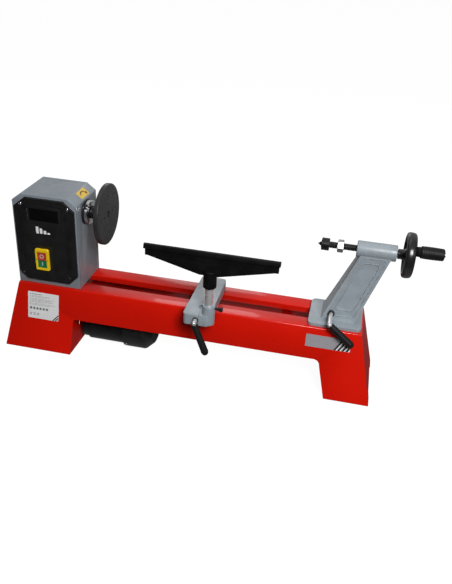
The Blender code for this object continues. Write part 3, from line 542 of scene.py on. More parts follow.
# ---------------------------------------------------------------- headstock
HEAD_LEFT = -467.4
HEAD_RIGHT = -305.7
HEAD_FRONT = 7.1
HEAD_BACK = 133.5
HEAD_WALL = 396.5
HEAD_ROOF = 413.6
HEAD_SKIN = 5.0
HEAD_MIDDLE = -386.0
PANEL_THICK = 5.0
PANEL_Y = HEAD_FRONT - PANEL_THICK - GAP


def head_outline(inset):
    w = 22.0
    return [
        (HEAD_LEFT + inset, BED_TOP + GAP - inset * 2.0), (HEAD_RIGHT - inset, BED_TOP + GAP - inset * 2.0),
        (HEAD_RIGHT - inset, HEAD_WALL - inset * 0.4), (HEAD_RIGHT - w - inset * 0.2, HEAD_ROOF - inset),
        (HEAD_LEFT + w + inset * 0.2, HEAD_ROOF - inset), (HEAD_LEFT + inset, HEAD_WALL - inset * 0.4),
    ]


def panel_outline(inset=0.0):
    x0 = -461.5 + inset
    x1 = -309.0 - inset
    z0 = 191.0 + inset
    z1 = 408.0 - inset
    k = inset * 0.4
    return [
        (x0 + 20.0 - k, z0), (x1 - 22.0 + k, z0), (x1, z0 + 22.0 - k), (x1, z1 - 24.0 + k),
        (x1 - 27.0 + k, z1), (x0 + 29.0 - k, z1), (x0, z1 - 24.0 + k), (x0, z0 + 20.0 - k),
    ]


def band(rings):
    """Closed band through rings of x, z points, each ring at its own y."""
    bm = bmesh.new()
    skin(bm, [[bm.verts.new((x, y, z)) for x, z in points] for points, y in rings], closed=True)
    return bm


def ring_y(outer, inner, y0, y1, edge=0.5):
    """Closed band between two x, z outlines of the same length, proud face at y0 with a softened rim."""
    mid = [((o[0] * 0.9 + i[0] * 0.1), (o[1] * 0.9 + i[1] * 0.1)) for o, i in zip(outer, inner)]
    return band(((outer, y1), (outer, y0 + edge), (mid, y0), (inner, y0), (inner, y1)))


def cap_screw(name, axis, centre, face, out, radius, mat, nodes=()):
    """Pan head with a cross recess; out is +1 or -1 along the axis."""
    rise = radius * 0.55
    profile = [(face - out * 0.6, radius * 0.96), (face, radius)]
    for k in range(1, 6):
        a = radians(15.0 * k)
        profile.append((face + out * rise * sin(a), radius * (0.35 + 0.65 * cos(a))))
    profile.append((face + out * rise, 0.0))
    head = turned(profile, axis, centre, 28)
    arm, half = radius * 0.62, radius * 0.13
    low, high = sorted((face + out * (rise + 1.0), face + out * rise * 0.25))
    for w, h in ((arm, half), (half, arm)):
        points = [(centre[0] - w, centre[1] - h), (centre[0] + w, centre[1] - h),
                  (centre[0] + w, centre[1] + h), (centre[0] - w, centre[1] + h)]
        head = boolean(head, [prism(points, axis, low, high)])
    make(name, head, mat, "bed", nodes, smooth=40.0)


def groove_cutter(outline, y0, y1, width):
    """Thin closed band that cuts a seam all round a shell."""
    outer = []
    inner = []
    for x, z in outline:
        side = (x > HEAD_MIDDLE) * 1.0 - (x < HEAD_MIDDLE) * 1.0
        high = z > 300.0
        outer.append((x + side * 6.0, z + (6.0 if high else -8.0)))
        inner.append((x - side * width, z - (width if high else 4.0)))
    return band(((outer, y0), (outer, y1), (inner, y1), (inner, y0)))


def build_headstock():
    shell = prism(head_outline(0.0), "Y", HEAD_FRONT, HEAD_BACK)
    cuts = [
        prism(head_outline(HEAD_SKIN), "Y", HEAD_FRONT + HEAD_SKIN, HEAD_BACK - HEAD_SKIN),
        block(-416.0, -376.4, 0.0, 20.0, 220.0, 282.0),
        rod("X", (AXIS_Y, AXIS_Z), -320.0, -300.0, 26.2, 64),
        rod("X", (AXIS_Y, AXIS_Z), -480.0, -455.0, 21.2, 64),
        block(-480.0, -455.0, 32.0, 102.0, 204.0, 304.0),
    ]
    shell = boolean(shell, cuts)
    for y in (HEAD_FRONT + 9.0, HEAD_BACK - 12.0):
        shell = boolean(shell, [groove_cutter(head_outline(0.0), y, y + 0.8, 0.7)])
    make("headstock_shell", shell, GREY, "bed", ("headstock_housing",), bevel=1.3, segments=3,
        angle=22.0)

    y = PANEL_Y
    panel = prism(panel_outline(), "Y", y, y + PANEL_THICK)
    cuts = [
        block(-423.0, -350.0, y - 9.0, y + 3.0, 351.0, 382.0),
        block(-412.0, -380.4, y - 9.0, y + 20.0, 224.5, 277.5),
        prism(rounded(-424.5, -368.5, 212.0, 290.0, 5.0, 6), "Y", y - 9.0, y + 0.9),
    ]
    for x in (-448.0, -330.0):
        cuts.append(prism(rounded(x - 3.2, x + 3.2, 224.0, 372.0, 3.1, 6), "Y", y - 9.0, y + 2.0))
    for x, z in ((-444.0, 391.0), (-325.0, 391.0), (-452.0, 206.0), (-331.0, 206.0)):
        cuts.append(rod("Y", (x, z), y - 9.0, y + 20.0, 2.3, 24))
        cuts.append(rod("Y", (x, z), y - 9.0, y + 0.5, 6.0, 32))
    panel = boolean(panel, cuts)
    make("panel_moulding", panel, BLACK_PLASTIC, "bed", ("front_panel",), bevel=0.7,
        segments=3, angle=40.0)
    for name, proud, outer, inner in (
        ("panel_rim", 1.1, panel_outline(0.4), panel_outline(3.4)),
        ("panel_field_rim", 0.9, rounded(-439.5, -338.5, 200.0, 398.0, 12.0),
         rounded(-437.3, -340.7, 202.2, 395.8, 10.0)),
        ("panel_window_rim", 1.2, rounded(-430.0, -343.0, 344.5, 388.5, 5.0),
         rounded(-424.0, -349.0, 350.0, 383.0, 1.4)),
        ("panel_switch_rim", 0.5, rounded(-425.6, -367.4, 210.9, 291.1, 6.0),
         rounded(-424.2, -368.8, 212.3, 289.7, 5.0)),
        ("panel_rib_left", 0.9, rounded(-452.6, -443.4, 222.0, 374.0, 4.5),
         rounded(-451.2, -444.8, 224.0, 372.0, 3.1)),
        ("panel_rib_right", 0.9, rounded(-334.6, -325.4, 222.0, 374.0, 4.5),
         rounded(-333.2, -326.8, 224.0, 372.0, 3.1)),
    ):
        ring = ring_y(outer, inner, y - proud, y + 0.2)
        make(name, ring, BLACK_PLASTIC, "bed", smooth=40.0)
    glass = prism(rounded(-422.6, -350.4, 351.4, 381.6, 1.5, 4), "Y", y + 1.2, y + 2.7)
    make("window_pane", glass, WINDOW_PAINTED_SHADE, "bed", ("speed_window",), bevel=0.4)
    scale = []
    for k in range(6):
        z = 353.5 + 5.2 * k
        scale.append(block(-429.0 + (k % 2) * 0.8, -426.4, y - 1.32, y - 1.0, z - 0.45, z + 0.45))
    make("window_scale", merge(*scale), GREY_INK, "bed")
    bars = []
    for k, (wide, tall) in enumerate(((6.8, 17.6), (6.8, 14.0), (6.8, 9.2), (6.8, 5.0))):
        x = -408.8 + 9.8 * k
        bars.append(prism(rounded(x, x + wide, 319.0, 319.0 + tall, 0.8, 3), "Y", y - 0.12, y + 0.1))
    make("speed_step_mark", merge(*bars), WHITE_INK, "bed")

    for name, x, z, shiny in (
        ("upper_left", -444.0, 391.0, True),
        ("upper_right", -325.0, 391.0, True),
        ("lower_left", -452.0, 206.0, False),
        ("lower_right", -331.0, 206.0, False),
    ):
        cap_screw("screw_" + name, "Y", (x, z), y + 0.4, -1.0, 4.3, CHROME if shiny else IRON_DARK,
                  nodes=("panel_screw_" + name,))

    outer = rounded(-414.5, -378.5, 222.0, 280.0, 4.5, 8)
    inner = rounded(-408.6, -385.4, 229.0, 271.0, 0.8, 8)
    bezel = ring_y(outer, inner, y - 6.0, y - GAP, 1.6)
    make("switch_bezel", bezel, YELLOW, "bed", ("switch_frame",), bevel=0.5, smooth=40.0)
    for x in (-411.6, -381.4):
        cap_screw("bezel_screw_%d" % (-x), "Y", (x, 251.0), y - 5.9, -1.0, 1.3, IRON_DARK)
    repaint("switch_body", BLACK_PLASTIC)
    for node, z0, z1, mat, slot, body, lift in (
        ("start_button", 229.4, 249.6, GREEN_KEY, "green_plastic", "start_switch", 0.0),
        ("stop_button", 250.4, 270.6, RED_KEY, "red_plastic", "stop_switch", 1.5),
    ):
        front = y - 5.4 - lift
        key = block(-408.2, -385.8, front, 21.0, z0, z1)
        dish = turned([(front - 38.0, 0.0), (front - 30.0, 30.0), (front + 0.9, 8.8), (front + 1.1, 0.0)],
            "Y", (-397.0, (z0 + z1) / 2), 48)
        key = boolean(key, [dish])
        make(node + "_key", key, mat, body, (node,), bevel=0.8, smooth=40.0)
        middle = (z0 + z1) / 2
        if node == "start_button":
            mark = prism(rounded(-397.8, -396.2, middle - 5.0, middle + 5.0, 0.6, 3), "Y", front + 0.75,
                front + 1.6)
        else:
            mark = tube("Y", (-397.0, middle), front + 0.75, front + 1.6, 5.2, 3.9, 40)
        make(node + "_mark", mark, WHITE_INK, body)

    flange = [
        (HEAD_RIGHT - HEAD_SKIN + GAP, 12.4), (HEAD_RIGHT - HEAD_SKIN + GAP, 26.0),
        (HEAD_RIGHT + GAP, 26.0), (HEAD_RIGHT + GAP, 30.4), (HEAD_RIGHT + 0.9, 31.0),
        (HEAD_RIGHT + 3.4, 31.0), (HEAD_RIGHT + 4.0, 30.4), (HEAD_RIGHT + 4.0, 24.8),
        (HEAD_RIGHT + 2.2, 23.6), (HEAD_RIGHT + 2.2, 17.0), (HEAD_RIGHT + 4.6, 16.0),
        (HEAD_RIGHT + 5.0, 12.4),
    ]
    make("bearing_flange", turned(flange, "X", (AXIS_Y, AXIS_Z), 72, ring=True), IRON_DARK, "bed",
         ("bearing_front",))
    rear = [
        (HEAD_LEFT - 1.0, 12.6), (HEAD_LEFT - 1.0, 20.2), (HEAD_LEFT - 0.2, 21.0), (HEAD_LEFT + 12.0, 21.0),
        (HEAD_LEFT + 12.0, 12.4),
    ]
    make("bearing_rear_ring", turned(rear, "X", (AXIS_Y, AXIS_Z), 64, ring=True), STEEL, "bed",
         ("bearing_rear",))
    arrow_label()


def arrow_label():
    """Plain turning-direction arrow on the roof's right slope."""
    top = Vector((HEAD_RIGHT - 22.0, 0.0, HEAD_ROOF))
    along = (Vector((HEAD_RIGHT, 0.0, HEAD_WALL)) - top).normalized()
    up = Vector((-along.z, 0.0, along.x))
    if up.z < 0.0:
        up = -up

    def laid(bm):
        for vert in bm.verts:
            s, y, lift = vert.co.x, vert.co.y, vert.co.z
            vert.co = top + along * s + Vector((0.0, y, 0.0)) + up * lift
        return bm

    make("arrow_label", laid(prism(rounded(3.0, 23.5, 56.0, 101.0, 1.5, 4), "Z", 0.02, 0.22)), LABEL_YELLOW,
        "bed")
    arc = []
    steps = 20
    for side in (1.0, -1.0):
        for k in range(steps + 1):
            t = k / steps if side > 0.0 else 1.0 - k / steps
            a = radians(-60.0 + 130.0 * t)
            thick = 1.6 * side
            arc.append((20.5 - (12.0 + thick) * cos(a), 78.0 + (14.0 + thick) * sin(a)))
    make("arrow_shaft", laid(prism(arc, "Z", 0.2, 0.34)), LABEL_BROWN, "bed")
    tip = [(16.5, 86.5), (13.0, 96.5), (22.0, 93.5)]
    make("arrow_tip", laid(prism(tip, "Z", 0.2, 0.34)), LABEL_BROWN, "bed")


# ---------------------------------------------------------------- labels on the bed
def on_skirt(bm, lift):
    """Lay a flat piece, drawn in x and z with its thickness in y, on the sloping front skirt."""
    for vert in bm.verts:
        vert.co.y = splay(vert.co.z) - lift - vert.co.y
    return bm


def build_labels():
    plate = prism(rounded(-443.0, -360.0, 87.0, 157.0, 1.2, 4), "Y", 0.0, 0.22)
    make("rating_label", on_skirt(plate, 0.04), LABEL_WHITE, "bed")
    rules = []
    rows = ((151.0, -438.0, -404.0, 1.5), (146.5, -438.0, -385.0, 0.7), (143.5, -438.0, -392.0, 0.7),
            (139.0, -438.0, -372.0, 0.7), (136.0, -438.0, -380.0, 0.7), (133.0, -438.0, -376.0, 0.7),
            (130.0, -438.0, -398.0, 0.7), (126.0, -438.0, -371.0, 0.7), (123.0, -438.0, -384.0, 0.7))
    for z, x0, x1, tall in rows:
        x = x0
        step = 0
        while x < x1:
            wide = 4.0 + (step * 37 % 7)
            rules.append(block(x, min(x + wide, x1), 0.0, 0.1, z - tall / 2, z + tall / 2))
            x += wide + 1.3
            step += 1
    for k in range(6):
        x = -438.0 + 8.6 * k
        rules.append(prism(rounded(x, x + 6.4, 110.5, 117.0, 3.1, 6), "Y", 0.0, 0.1))
    for k in range(3):
        x = -438.0 + 9.5 * k
        rules.append(block(x, x + 6.0, 0.0, 0.1, 96.0, 97.4))
        rules.append(block(x, x + 6.0, 0.0, 0.1, 100.0, 101.4))
    make("rating_rules", on_skirt(merge(*rules), 0.25), GREY_INK, "bed")
    stripes = []
    for k in range(3):
        x = -377.0 + 6.2 * k
        stripes.append(prism([(x, 87.3), (x + 3.6, 87.3), (-360.3, 87.3 + (-360.3 - x - 3.6) * 1.05),
                              (-360.3, 87.3 + (-360.3 - x) * 1.05)], "Y", 0.0, 0.1))
    make("rating_stripes", on_skirt(merge(*stripes), 0.25), LABEL_BLACK, "bed")

    badge = prism(rounded(265.5, 372.0, 130.0, 160.5, 1.0, 4), "Y", 0.0, 0.3)
    make("side_badge", on_skirt(badge, 0.04), LABEL_GREY, "bed")
    dark = []
    pale = []
    for k in range(4):
        x = 333.0 + 9.5 * k
        lean = 30.0 * 0.62
        right = 371.6
        bottom = 130.3
        top = 160.2
        for shift, bucket in ((0.0, dark), (5.2, pale)):
            a = x + shift
            b = a + (4.6 if shift == 0.0 else 3.2)
            pts = [(a, bottom), (b, bottom), (b + lean, top), (a + lean, top)]
            if b + lean > right:
                if b >= right:
                    continue
                cut_b = bottom + (right - b) / 0.62
                if a + lean > right:
                    cut_a = bottom + (right - a) / 0.62
                    pts = [(a, bottom), (b, bottom), (right, cut_b), (right, cut_a)]
                else:
                    pts = [(a, bottom), (b, bottom), (right, cut_b), (right, top), (a + lean, top)]
            bucket.append(prism(pts, "Y", 0.0, 0.1))
    make("badge_stripes_dark", on_skirt(merge(*dark), 0.33), LABEL_BLACK, "bed")
    make("badge_stripes_pale", on_skirt(merge(*pale), 0.33), LABEL_WHITE, "bed")


# ---------------------------------------------------------------- spindle
def build_spindle():
    centre = (AXIS_Y, AXIS_Z)
    repaint("spindle_shaft", STEEL)
    repaint("spindle_pulley", STEEL)
    repaint("drive_belt", BELT)
    collar = [
        (-299.9, 12.3), (-299.9, COLLAR_R - 0.8), (-299.1, COLLAR_R), (-291.0, COLLAR_R),
        (-289.5, COLLAR_R - 1.5), (-289.5, 24.2), (-290.3, 23.4), (-290.3, 18.6), (-289.5, 17.8),
        (-289.5, 12.3),
    ]
    collar = turned(collar, "X", centre, 96, ring=True)
    cuts = []
    for angle in (136.0, 316.0):
        cuts.append(rod("X", around(centre, COLLAR_R, angle), -303.0, -285.0, 7.0, 48))
    for angle in (46.0, 226.0):
        spanner = rod("Z", (0.0, 0.0), -6.0, 4.0, 2.4, 28)
        cuts.append(on_radius(spanner, -295.2, centre, COLLAR_R, angle))
    collar = boolean(collar, cuts)
    make("nose_collar", collar, CHROME, "spindle", ("spindle_collar",), bevel=0.35, angle=50.0)

    r = 75.0
    x = FACEPLATE_X
    plate = [
        (-288.7, 9.8), (-288.7, 15.4), (-288.0, 16.0), (-280.0, 16.2), (-264.0, 16.6), (x - 11.6, 18.4),
        (x - 10.5, 23.0), (x - 10.5, r - 1.2), (x - 10.1, r - 0.4), (x - 9.3, r), (x - 1.2, r),
        (x - 0.35, r - 0.35), (x, r - 1.2), (x, r - 5.6), (x - 0.22, r - 5.9), (x - 0.22, r - 6.5),
        (x, r - 6.8), (x, 20.6), (x - 0.2, 20.3), (x - 0.2, 19.7), (x, 19.4), (x, 9.2), (x - 1.2, 8.0),
        (-266.0, 8.0), (-266.0, 9.8),
    ]
    plate = turned(plate, "X", centre, 112, ring=True)
    cuts = []
    for n in range(8):
        at = around(centre, 27.0 if n < 4 else 46.0, 90.0 * (n % 4))
        cuts.append(rod("X", at, -270.0, -240.0, 2.4, 28))
        cuts.append(turned([(x - 1.0, 2.0), (x + 0.6, 4.0), (x + 3.0, 4.0)], "X", at, 28))
    for dz in (-1.0, 1.0):
        cuts.append(block(-289.5, -281.0, AXIS_Y - 18.0, AXIS_Y + 18.0, AXIS_Z + dz * 17.2 - 3.0,
            AXIS_Z + dz * 17.2 + 3.0))
    plate = boolean(plate, cuts)
    make("faceplate_disc", plate, IRON, "spindle", ("faceplate",), smooth=25.0)


# ---------------------------------------------------------------- motor and door
MOTOR_Z = 64.0
MOTOR_R = 54.5
MOTOR_LEFT = -318.5
MOTOR_RIGHT = -200.0
FAN_R = 60.0
FAN_END = -124.0


def build_motor():
    centre = (AXIS_Y, MOTOR_Z)
    bell = [
        (MOTOR_LEFT, 9.0), (MOTOR_LEFT, 40.0), (MOTOR_LEFT + 2.0, 44.5), (MOTOR_LEFT + 6.0, MOTOR_R - 5.4),
        (MOTOR_LEFT + 7.6, MOTOR_R - 4.0), (MOTOR_LEFT + 21.4, MOTOR_R - 4.0),
        (MOTOR_LEFT + 22.0, MOTOR_R - 4.6), (MOTOR_LEFT + 22.0, 9.0),
    ]
    make("motor_bell", turned(bell, "X", centre, 96, ring=True), BLACK_PAINT, "bed",
         ("motor_end_bell",), bevel=0.4)
    shell = [
        (MOTOR_LEFT + 22.3, MOTOR_R - 5.0), (MOTOR_LEFT + 22.3, MOTOR_R - 0.8),
        (MOTOR_LEFT + 23.1, MOTOR_R), (MOTOR_LEFT + 30.0, MOTOR_R), (MOTOR_LEFT + 30.6, MOTOR_R - 0.7),
        (MOTOR_LEFT + 31.6, MOTOR_R - 0.7), (MOTOR_LEFT + 32.2, MOTOR_R), (MOTOR_RIGHT - 9.0, MOTOR_R),
        (MOTOR_RIGHT - 8.4, MOTOR_R - 0.7), (MOTOR_RIGHT - 7.4, MOTOR_R - 0.7),
        (MOTOR_RIGHT - 6.8, MOTOR_R), (MOTOR_RIGHT - 0.8, MOTOR_R), (MOTOR_RIGHT, MOTOR_R - 0.8),
        (MOTOR_RIGHT, 9.0), (MOTOR_RIGHT - 4.0, 9.0), (MOTOR_RIGHT - 4.0, MOTOR_R - 5.0),
    ]
    make("motor_shell", turned(shell, "X", centre, 96, ring=True), BLACK_PAINT, "bed",
         ("motor_housing",))
    cover = [(MOTOR_RIGHT + 0.3, FAN_R - 2.0), (MOTOR_RIGHT + 0.3, FAN_R - 0.7), (MOTOR_RIGHT + 1.0, FAN_R)]
    for k in range(7):
        a = radians(42.0 * k / 6)
        cover.append((FAN_END - 24.0 + 9.0 * sin(a), FAN_R - 9.0 + 9.0 * cos(a)))
    for k in range(7):
        a = radians(42.0 + 48.0 * k / 6)
        cover.append((FAN_END - 7.4 + 7.4 * sin(a), FAN_R - 27.4 + 14.0 * cos(a)))
    cover += [
        (FAN_END, FAN_R - 31.0), (FAN_END, 6.0), (FAN_END - 2.0, 6.0), (FAN_END - 2.0, FAN_R - 31.0),
        (FAN_END - 9.0, FAN_R - 16.5), (FAN_END - 24.0, FAN_R - 2.0),
    ]
    cover = turned(cover, "X", centre, 96, ring=True)
    cuts = []
    for n in range(6):
        cuts.append(rod("X", around(centre, 19.0, 60.0 * n + 30.0), FAN_END - 12.0, FAN_END + 5.0, 5.5, 24))
    cover = boolean(cover, cuts)
    make("motor_cover", cover, BLACK_PLASTIC, "bed", ("motor_fan_cover",), smooth=32.0)
    for k, angle in enumerate((215.0, 325.0, 90.0)):
        screw = rod("Z", (0.0, 0.0), -0.5, 1.5, 3.4, 28, 0.6)
        screw = on_radius(screw, MOTOR_RIGHT + 7.0, centre, FAN_R - 0.1, angle)
        make("cover_screw_%d" % k, screw, CHROME, "bed")
    box = block(-290.0, -215.0, AXIS_Y + MOTOR_R + 1.0, AXIS_Y + MOTOR_R + 22.0, 48.0, 88.0)
    make("capacitor_cover", box, BLACK_PLASTIC, "bed", ("capacitor_box",), bevel=3.0,
        segments=4)
    for node in ("motor_shaft", "motor_pulley"):
        repaint(node, STEEL)
    repaint("cooling_fan", BLACK_PLASTIC)
    for side, dy in (("front", -36.0), ("rear", 36.0)):
        at = (AXIS_Y + dy, MOTOR_Z)
        nut = hex_nut("X", at, -338.0, -332.0, 7.5)
        washer = rod("X", at, -332.0, -330.3, 8.6, 36, 0.4)
        make("motor_nut_" + side, merge(nut, washer), CHROME, "bed", ("motor_bolt_" + side,),
            smooth=35.0)
    x = HEAD_LEFT - 0.3
    door = prism(rounded(24.0, 110.0, 196.0, 312.0, 6.0, 8), "X", x - 1.8, x)
    ring = prism(rounded(32.0, 102.0, 206.0, 302.0, 5.0, 8), "X", x - 9.0, x - 1.2)
    door = boolean(door, [ring])
    make("door_skin", door, GREY, "belt_access_door", ("belt_door",), bevel=0.5)
    latch = prism(rounded(30.0, 50.0, 249.0, 259.0, 4.9, 10), "X", x - 4.6, x - 1.0)
    latch = boolean(latch, [block(x - 9.0, x - 3.6, 33.0, 47.0, 253.2, 254.8)])
    make("door_latch", latch, BLACK_PLASTIC, "belt_access_door", ("belt_door_latch",),
        bevel=0.5)


# ---------------------------------------------------------------- tool rest
POST_X = 37.5
POST_Y = -55.0
POST_R = 9.6
BOSS_R = 15.0
BOSS_TOP = 228.5
LOCK_Z = 220.0
BANJO_LEFT = -20.0
BANJO_RIGHT = 43.0
BANJO_FRONT = -72.0
BANJO_BACK = 122.0
BANJO_TOP = 205.0
CAM_X = 11.0
CAM_Z = 192.0
CAM_R = 5.0
GRIP_R = 8.8
REST_TOP = 361.5
REST_HALF = 156.0
HUB_LOW = 275.0


def ribbed_grip(length, ribs):
    """Moulded sleeve along -Z below an elbow, with rings round it and a rounded end."""
    profile = [(-17.5, 0.0), (-17.5, CAM_R + 0.1), (-3.5, CAM_R + 0.1), (-3.3, 6.9), (-3.9, 7.6), (-5.2, 8.1)]
    start, stop = -6.5, 11.0 - length
    steps = ribs * 8
    for k in range(steps + 1):
        t = k / steps
        along = start + (stop - start) * t
        swell = 8.15 + (GRIP_R - 8.1) * t
        profile.append((along, swell - 0.55 * (0.5 - 0.5 * cos(2.0 * pi * ribs * t))))
    for k in range(1, 8):
        a = radians(90.0 * k / 7)
        profile.append((stop - 11.0 * sin(a), 3.0 + (GRIP_R - 3.0) * cos(a) if k < 7 else 3.0))
    profile.append((-length, 0.0))
    return turned(profile, "Z", (0.0, 0.0), 48)


def build_lever(prefix, body, x, z, rod_end, shaft_back, grip_turn, reach):
    turn = Matrix.Rotation(radians(grip_turn), 4, "Y")
    hang = Matrix.Translation((x, rod_end, z)) @ turn
    profile = [
        (rod_end, 0.0), (rod_end, CAM_R), (shaft_back - 1.0, CAM_R), (shaft_back, CAM_R - 1.0),
        (shaft_back, 0.0),
    ]
    shaft = turned(profile, "Y", (x, z), 48)
    elbow = [(CAM_R, 0.0)]
    for k in range(1, 9):
        a = radians(90.0 * k / 8)
        elbow.append((CAM_R * cos(a), CAM_R * sin(a)))
    elbow += [(-16.0, CAM_R), (-17.0, CAM_R - 1.0), (-17.0, 0.0)]
    elbow = moved(turned(elbow, "Z", (0.0, 0.0), 48), hang)
    shaft = boolean(shaft, [elbow], "UNION")
    make(prefix + "_rod", shaft, POST_STEEL, body, (prefix + "_shaft",), smooth=40.0)
    grip = moved(ribbed_grip(reach, 13), hang)
    bore = rod("Y", (x, z), rod_end - 1.0, rod_end + 30.0, CAM_R + 0.2, 40)
    grip = boolean(grip, [bore])
    make(prefix + "_handle", grip, GRIP, body, (prefix + "_grip",), smooth=50.0)


def build_rest():
    low = BED_TOP + GAP
    body = prism(rounded(BANJO_LEFT, BANJO_RIGHT, BANJO_FRONT, BANJO_BACK, 9.0, 8), "Z", low, BANJO_TOP)
    body = boolean(body, [rod("Z", (POST_X, POST_Y), low + 0.02, BOSS_TOP, BOSS_R, 72, 1.5)], "UNION")
    cuts = [
        block(-9.0, 31.0, -36.0, 112.0, 170.0, 201.5),
        rod("Z", (POST_X, POST_Y), 170.0, 240.0, POST_R + 0.3, 64),
        rod("Y", (CAM_X, CAM_Z), -80.0, -30.0, CAM_R + 0.3, 40),
        rod("Y", (CAM_X, CAM_Z), -80.0, BANJO_FRONT + 3.0, 7.4, 40),
        rod("X", (POST_Y, LOCK_Z), POST_X, POST_X + 30.0, 2.5, 28),
        prism(rounded(10.0, 24.0, -39.0, -23.0, 5.0, 6), "Z", BANJO_TOP - 2.4, BANJO_TOP + 5.0),
        block(17.6, 18.4, -80.0, -60.0, low + 1.5, BANJO_TOP + 2.0),
    ]
    body = boolean(body, cuts)
    make("rest_body", body, CAST_GREY, "rest_carriage", ("rest_base",), bevel=1.1, segments=3,
        angle=32.0)
    ring = [
        (BANJO_FRONT - 2.0, 5.3), (BANJO_FRONT - 2.0, 6.6), (BANJO_FRONT - 1.4, 7.1),
        (BANJO_FRONT + 2.7, 7.1), (BANJO_FRONT + 2.7, 5.3),
    ]
    make("rest_collar", turned(ring, "Y", (CAM_X, CAM_Z), 48, ring=True), IRON_DARK, "rest_carriage",
        ("rest_bush",))
    build_lever("rest_lever", "rest_lever", CAM_X, CAM_Z, -87.0, 108.0, -21.5, 86.5)
    knob = [
        (POST_X + POST_R + 0.3, 2.2), (POST_X + BOSS_R + 1.6, 2.2), (POST_X + BOSS_R + 1.6, 3.2),
        (POST_X + BOSS_R + 2.2, 3.6), (POST_X + BOSS_R + 6.0, 3.6), (POST_X + BOSS_R + 9.0, 4.4),
        (POST_X + BOSS_R + 13.6, 5.9), (POST_X + BOSS_R + 14.4, 6.2), (POST_X + BOSS_R + 17.0, 6.2),
        (POST_X + BOSS_R + 18.0, 5.4), (POST_X + BOSS_R + 18.2, 0.0),
    ]
    knob = turned(knob, "X", (POST_Y, LOCK_Z), 48)
    cuts = []
    for k in range(6):
        at = around((POST_Y, LOCK_Z), 7.6, 60.0 * k)
        cuts.append(rod("X", at, POST_X + BOSS_R + 11.0, POST_X + BOSS_R + 30.0, 2.4, 20))
    knob = boolean(knob, cuts)
    make("rest_knob", knob, BLACK_PLASTIC, "rest_lock", ("rest_lock_knob",), bevel=0.3,
        angle=50.0)
    column = rod("Z", (POST_X, POST_Y), 181.0, 301.0, POST_R, 72, 1.2)
    make("rest_column", column, POST_STEEL, "rest_riser", ("rest_post",))

    section = [
        (9.0, REST_TOP - 3.2), (8.6, REST_TOP - 2.4), (4.6, REST_TOP - 0.2), (3.6, REST_TOP),
        (-1.4, REST_TOP - 0.6), (-2.3, REST_TOP - 1.4), (-4.5, REST_TOP - 9.6), (-4.4, REST_TOP - 10.6),
        (-3.6, REST_TOP - 11.2), (-1.5, REST_TOP - 11.8), (-1.0, REST_TOP - 12.6), (-1.0, REST_TOP - 27.2),
        (0.0, REST_TOP - 28.5), (6.0, REST_TOP - 28.5), (7.5, REST_TOP - 27.0),
    ]
    section = [(POST_Y + y, z) for y, z in section]
    bar = prism(section, "X", POST_X - REST_HALF, POST_X + REST_HALF)
    low = REST_TOP - 11.4
    bar = boolean(bar, [
        block(POST_X - REST_HALF - 9.0, POST_X - REST_HALF + 3.0, -90.0, -40.0, 300.0, low),
        block(POST_X + REST_HALF - 3.0, POST_X + REST_HALF + 9.0, -90.0, -40.0, 300.0, low),
    ])
    web = [
        (POST_X - REST_HALF + 6.0, REST_TOP - 26.0), (POST_X - 25.1, 304.0), (POST_X + 18.1, 304.0),
        (POST_X + REST_HALF - 6.0, REST_TOP - 26.0),
    ]
    bar = boolean(bar, [prism(web, "Y", POST_Y - 3.0, POST_Y + 3.0)], "UNION")
    bar = boolean(bar, [rod("Z", (POST_X, POST_Y), HUB_LOW, 318.0, 15.5, 72, 1.5)], "UNION")
    bar = boolean(bar, [rod("Z", (POST_X, POST_Y), HUB_LOW - 5.0, 303.0, POST_R + 0.3, 64)])
    make("rest_bar", bar, REST_BLACK, "rest_blade", ("tool_rest",), bevel=0.8, segments=3,
        angle=32.0)
    for node in ("rest_clamp_bolt", "rest_clamp_shoe", "rest_clamp_nut"):
        repaint(node, STEEL)


# ---------------------------------------------------------------- tailstock
BASE_LEFT = 264.0
BASE_RIGHT = 390.0
BASE_TOP = 186.0
TAIL_CAM_X = 315.3
TAIL_CAM_Z = 202.5
BARREL_LEFT = 351.0
BARREL_RIGHT = 441.0
BARREL_R = 19.0
ROD_R = 7.8
TIP_X = 262.0
CRANK_Y = 38.0
CRANK_Z = 389.0


def arm_point(u, v, depth):
    """Point in the slanted arm: u across, v up, depth 0 front to 1 back."""
    z = BASE_TOP - 1.0 + (362.0 - BASE_TOP + 1.0) * v
    left = 292.0 + (364.0 - 292.0) * v
    right = 371.0 + (433.0 - 371.0) * v
    front = 33.0 + (51.0 - 33.0) * v
    back = 109.0 + (88.0 - 109.0) * v
    return (left + (right - left) * u, front + (back - front) * depth, z)


def arm_solid(outline, front, back):
    """Solid between two depths of the arm under an outline drawn across (u) and up (v) it."""
    return loft(*[[arm_point(u, v, depth) for u, v in outline] for depth in (front, back)])


def arm_frame(u0, u1, v0, v1, radius):
    """Rounded outline in arm coordinates; v is stretched so that the corners look round."""
    stretch = 2.6
    return [(u, v / stretch) for u, v in rounded(u0, u1, v0 * stretch, v1 * stretch, radius, 6)]


def threaded(axis_centre, low, high, outer, inner, pitch):
    """Closed screw with a real helical thread."""
    sides = 28
    rows = int((high - low) / pitch * 6.0)
    bm = bmesh.new()
    grid = []
    for r in range(rows + 1):
        x = low + (high - low) * r / rows
        ring = []
        for k in range(sides):
            a = 2.0 * pi * k / sides
            phase = (x / pitch - k / sides) % 1.0
            ridge = abs(2.0 * phase - 1.0)
            radius = inner + (outer - inner) * min(1.0, max(0.0, ridge * 1.6 - 0.3))
            if r in (0, rows):
                radius = inner
            ring.append(bm.verts.new((x, axis_centre[0] + radius * cos(a), axis_centre[1] + radius * sin(a))))
        grid.append(ring)
    skin(bm, grid)
    bm.faces.new(grid[0])
    bm.faces.new(grid[-1])
    return bm


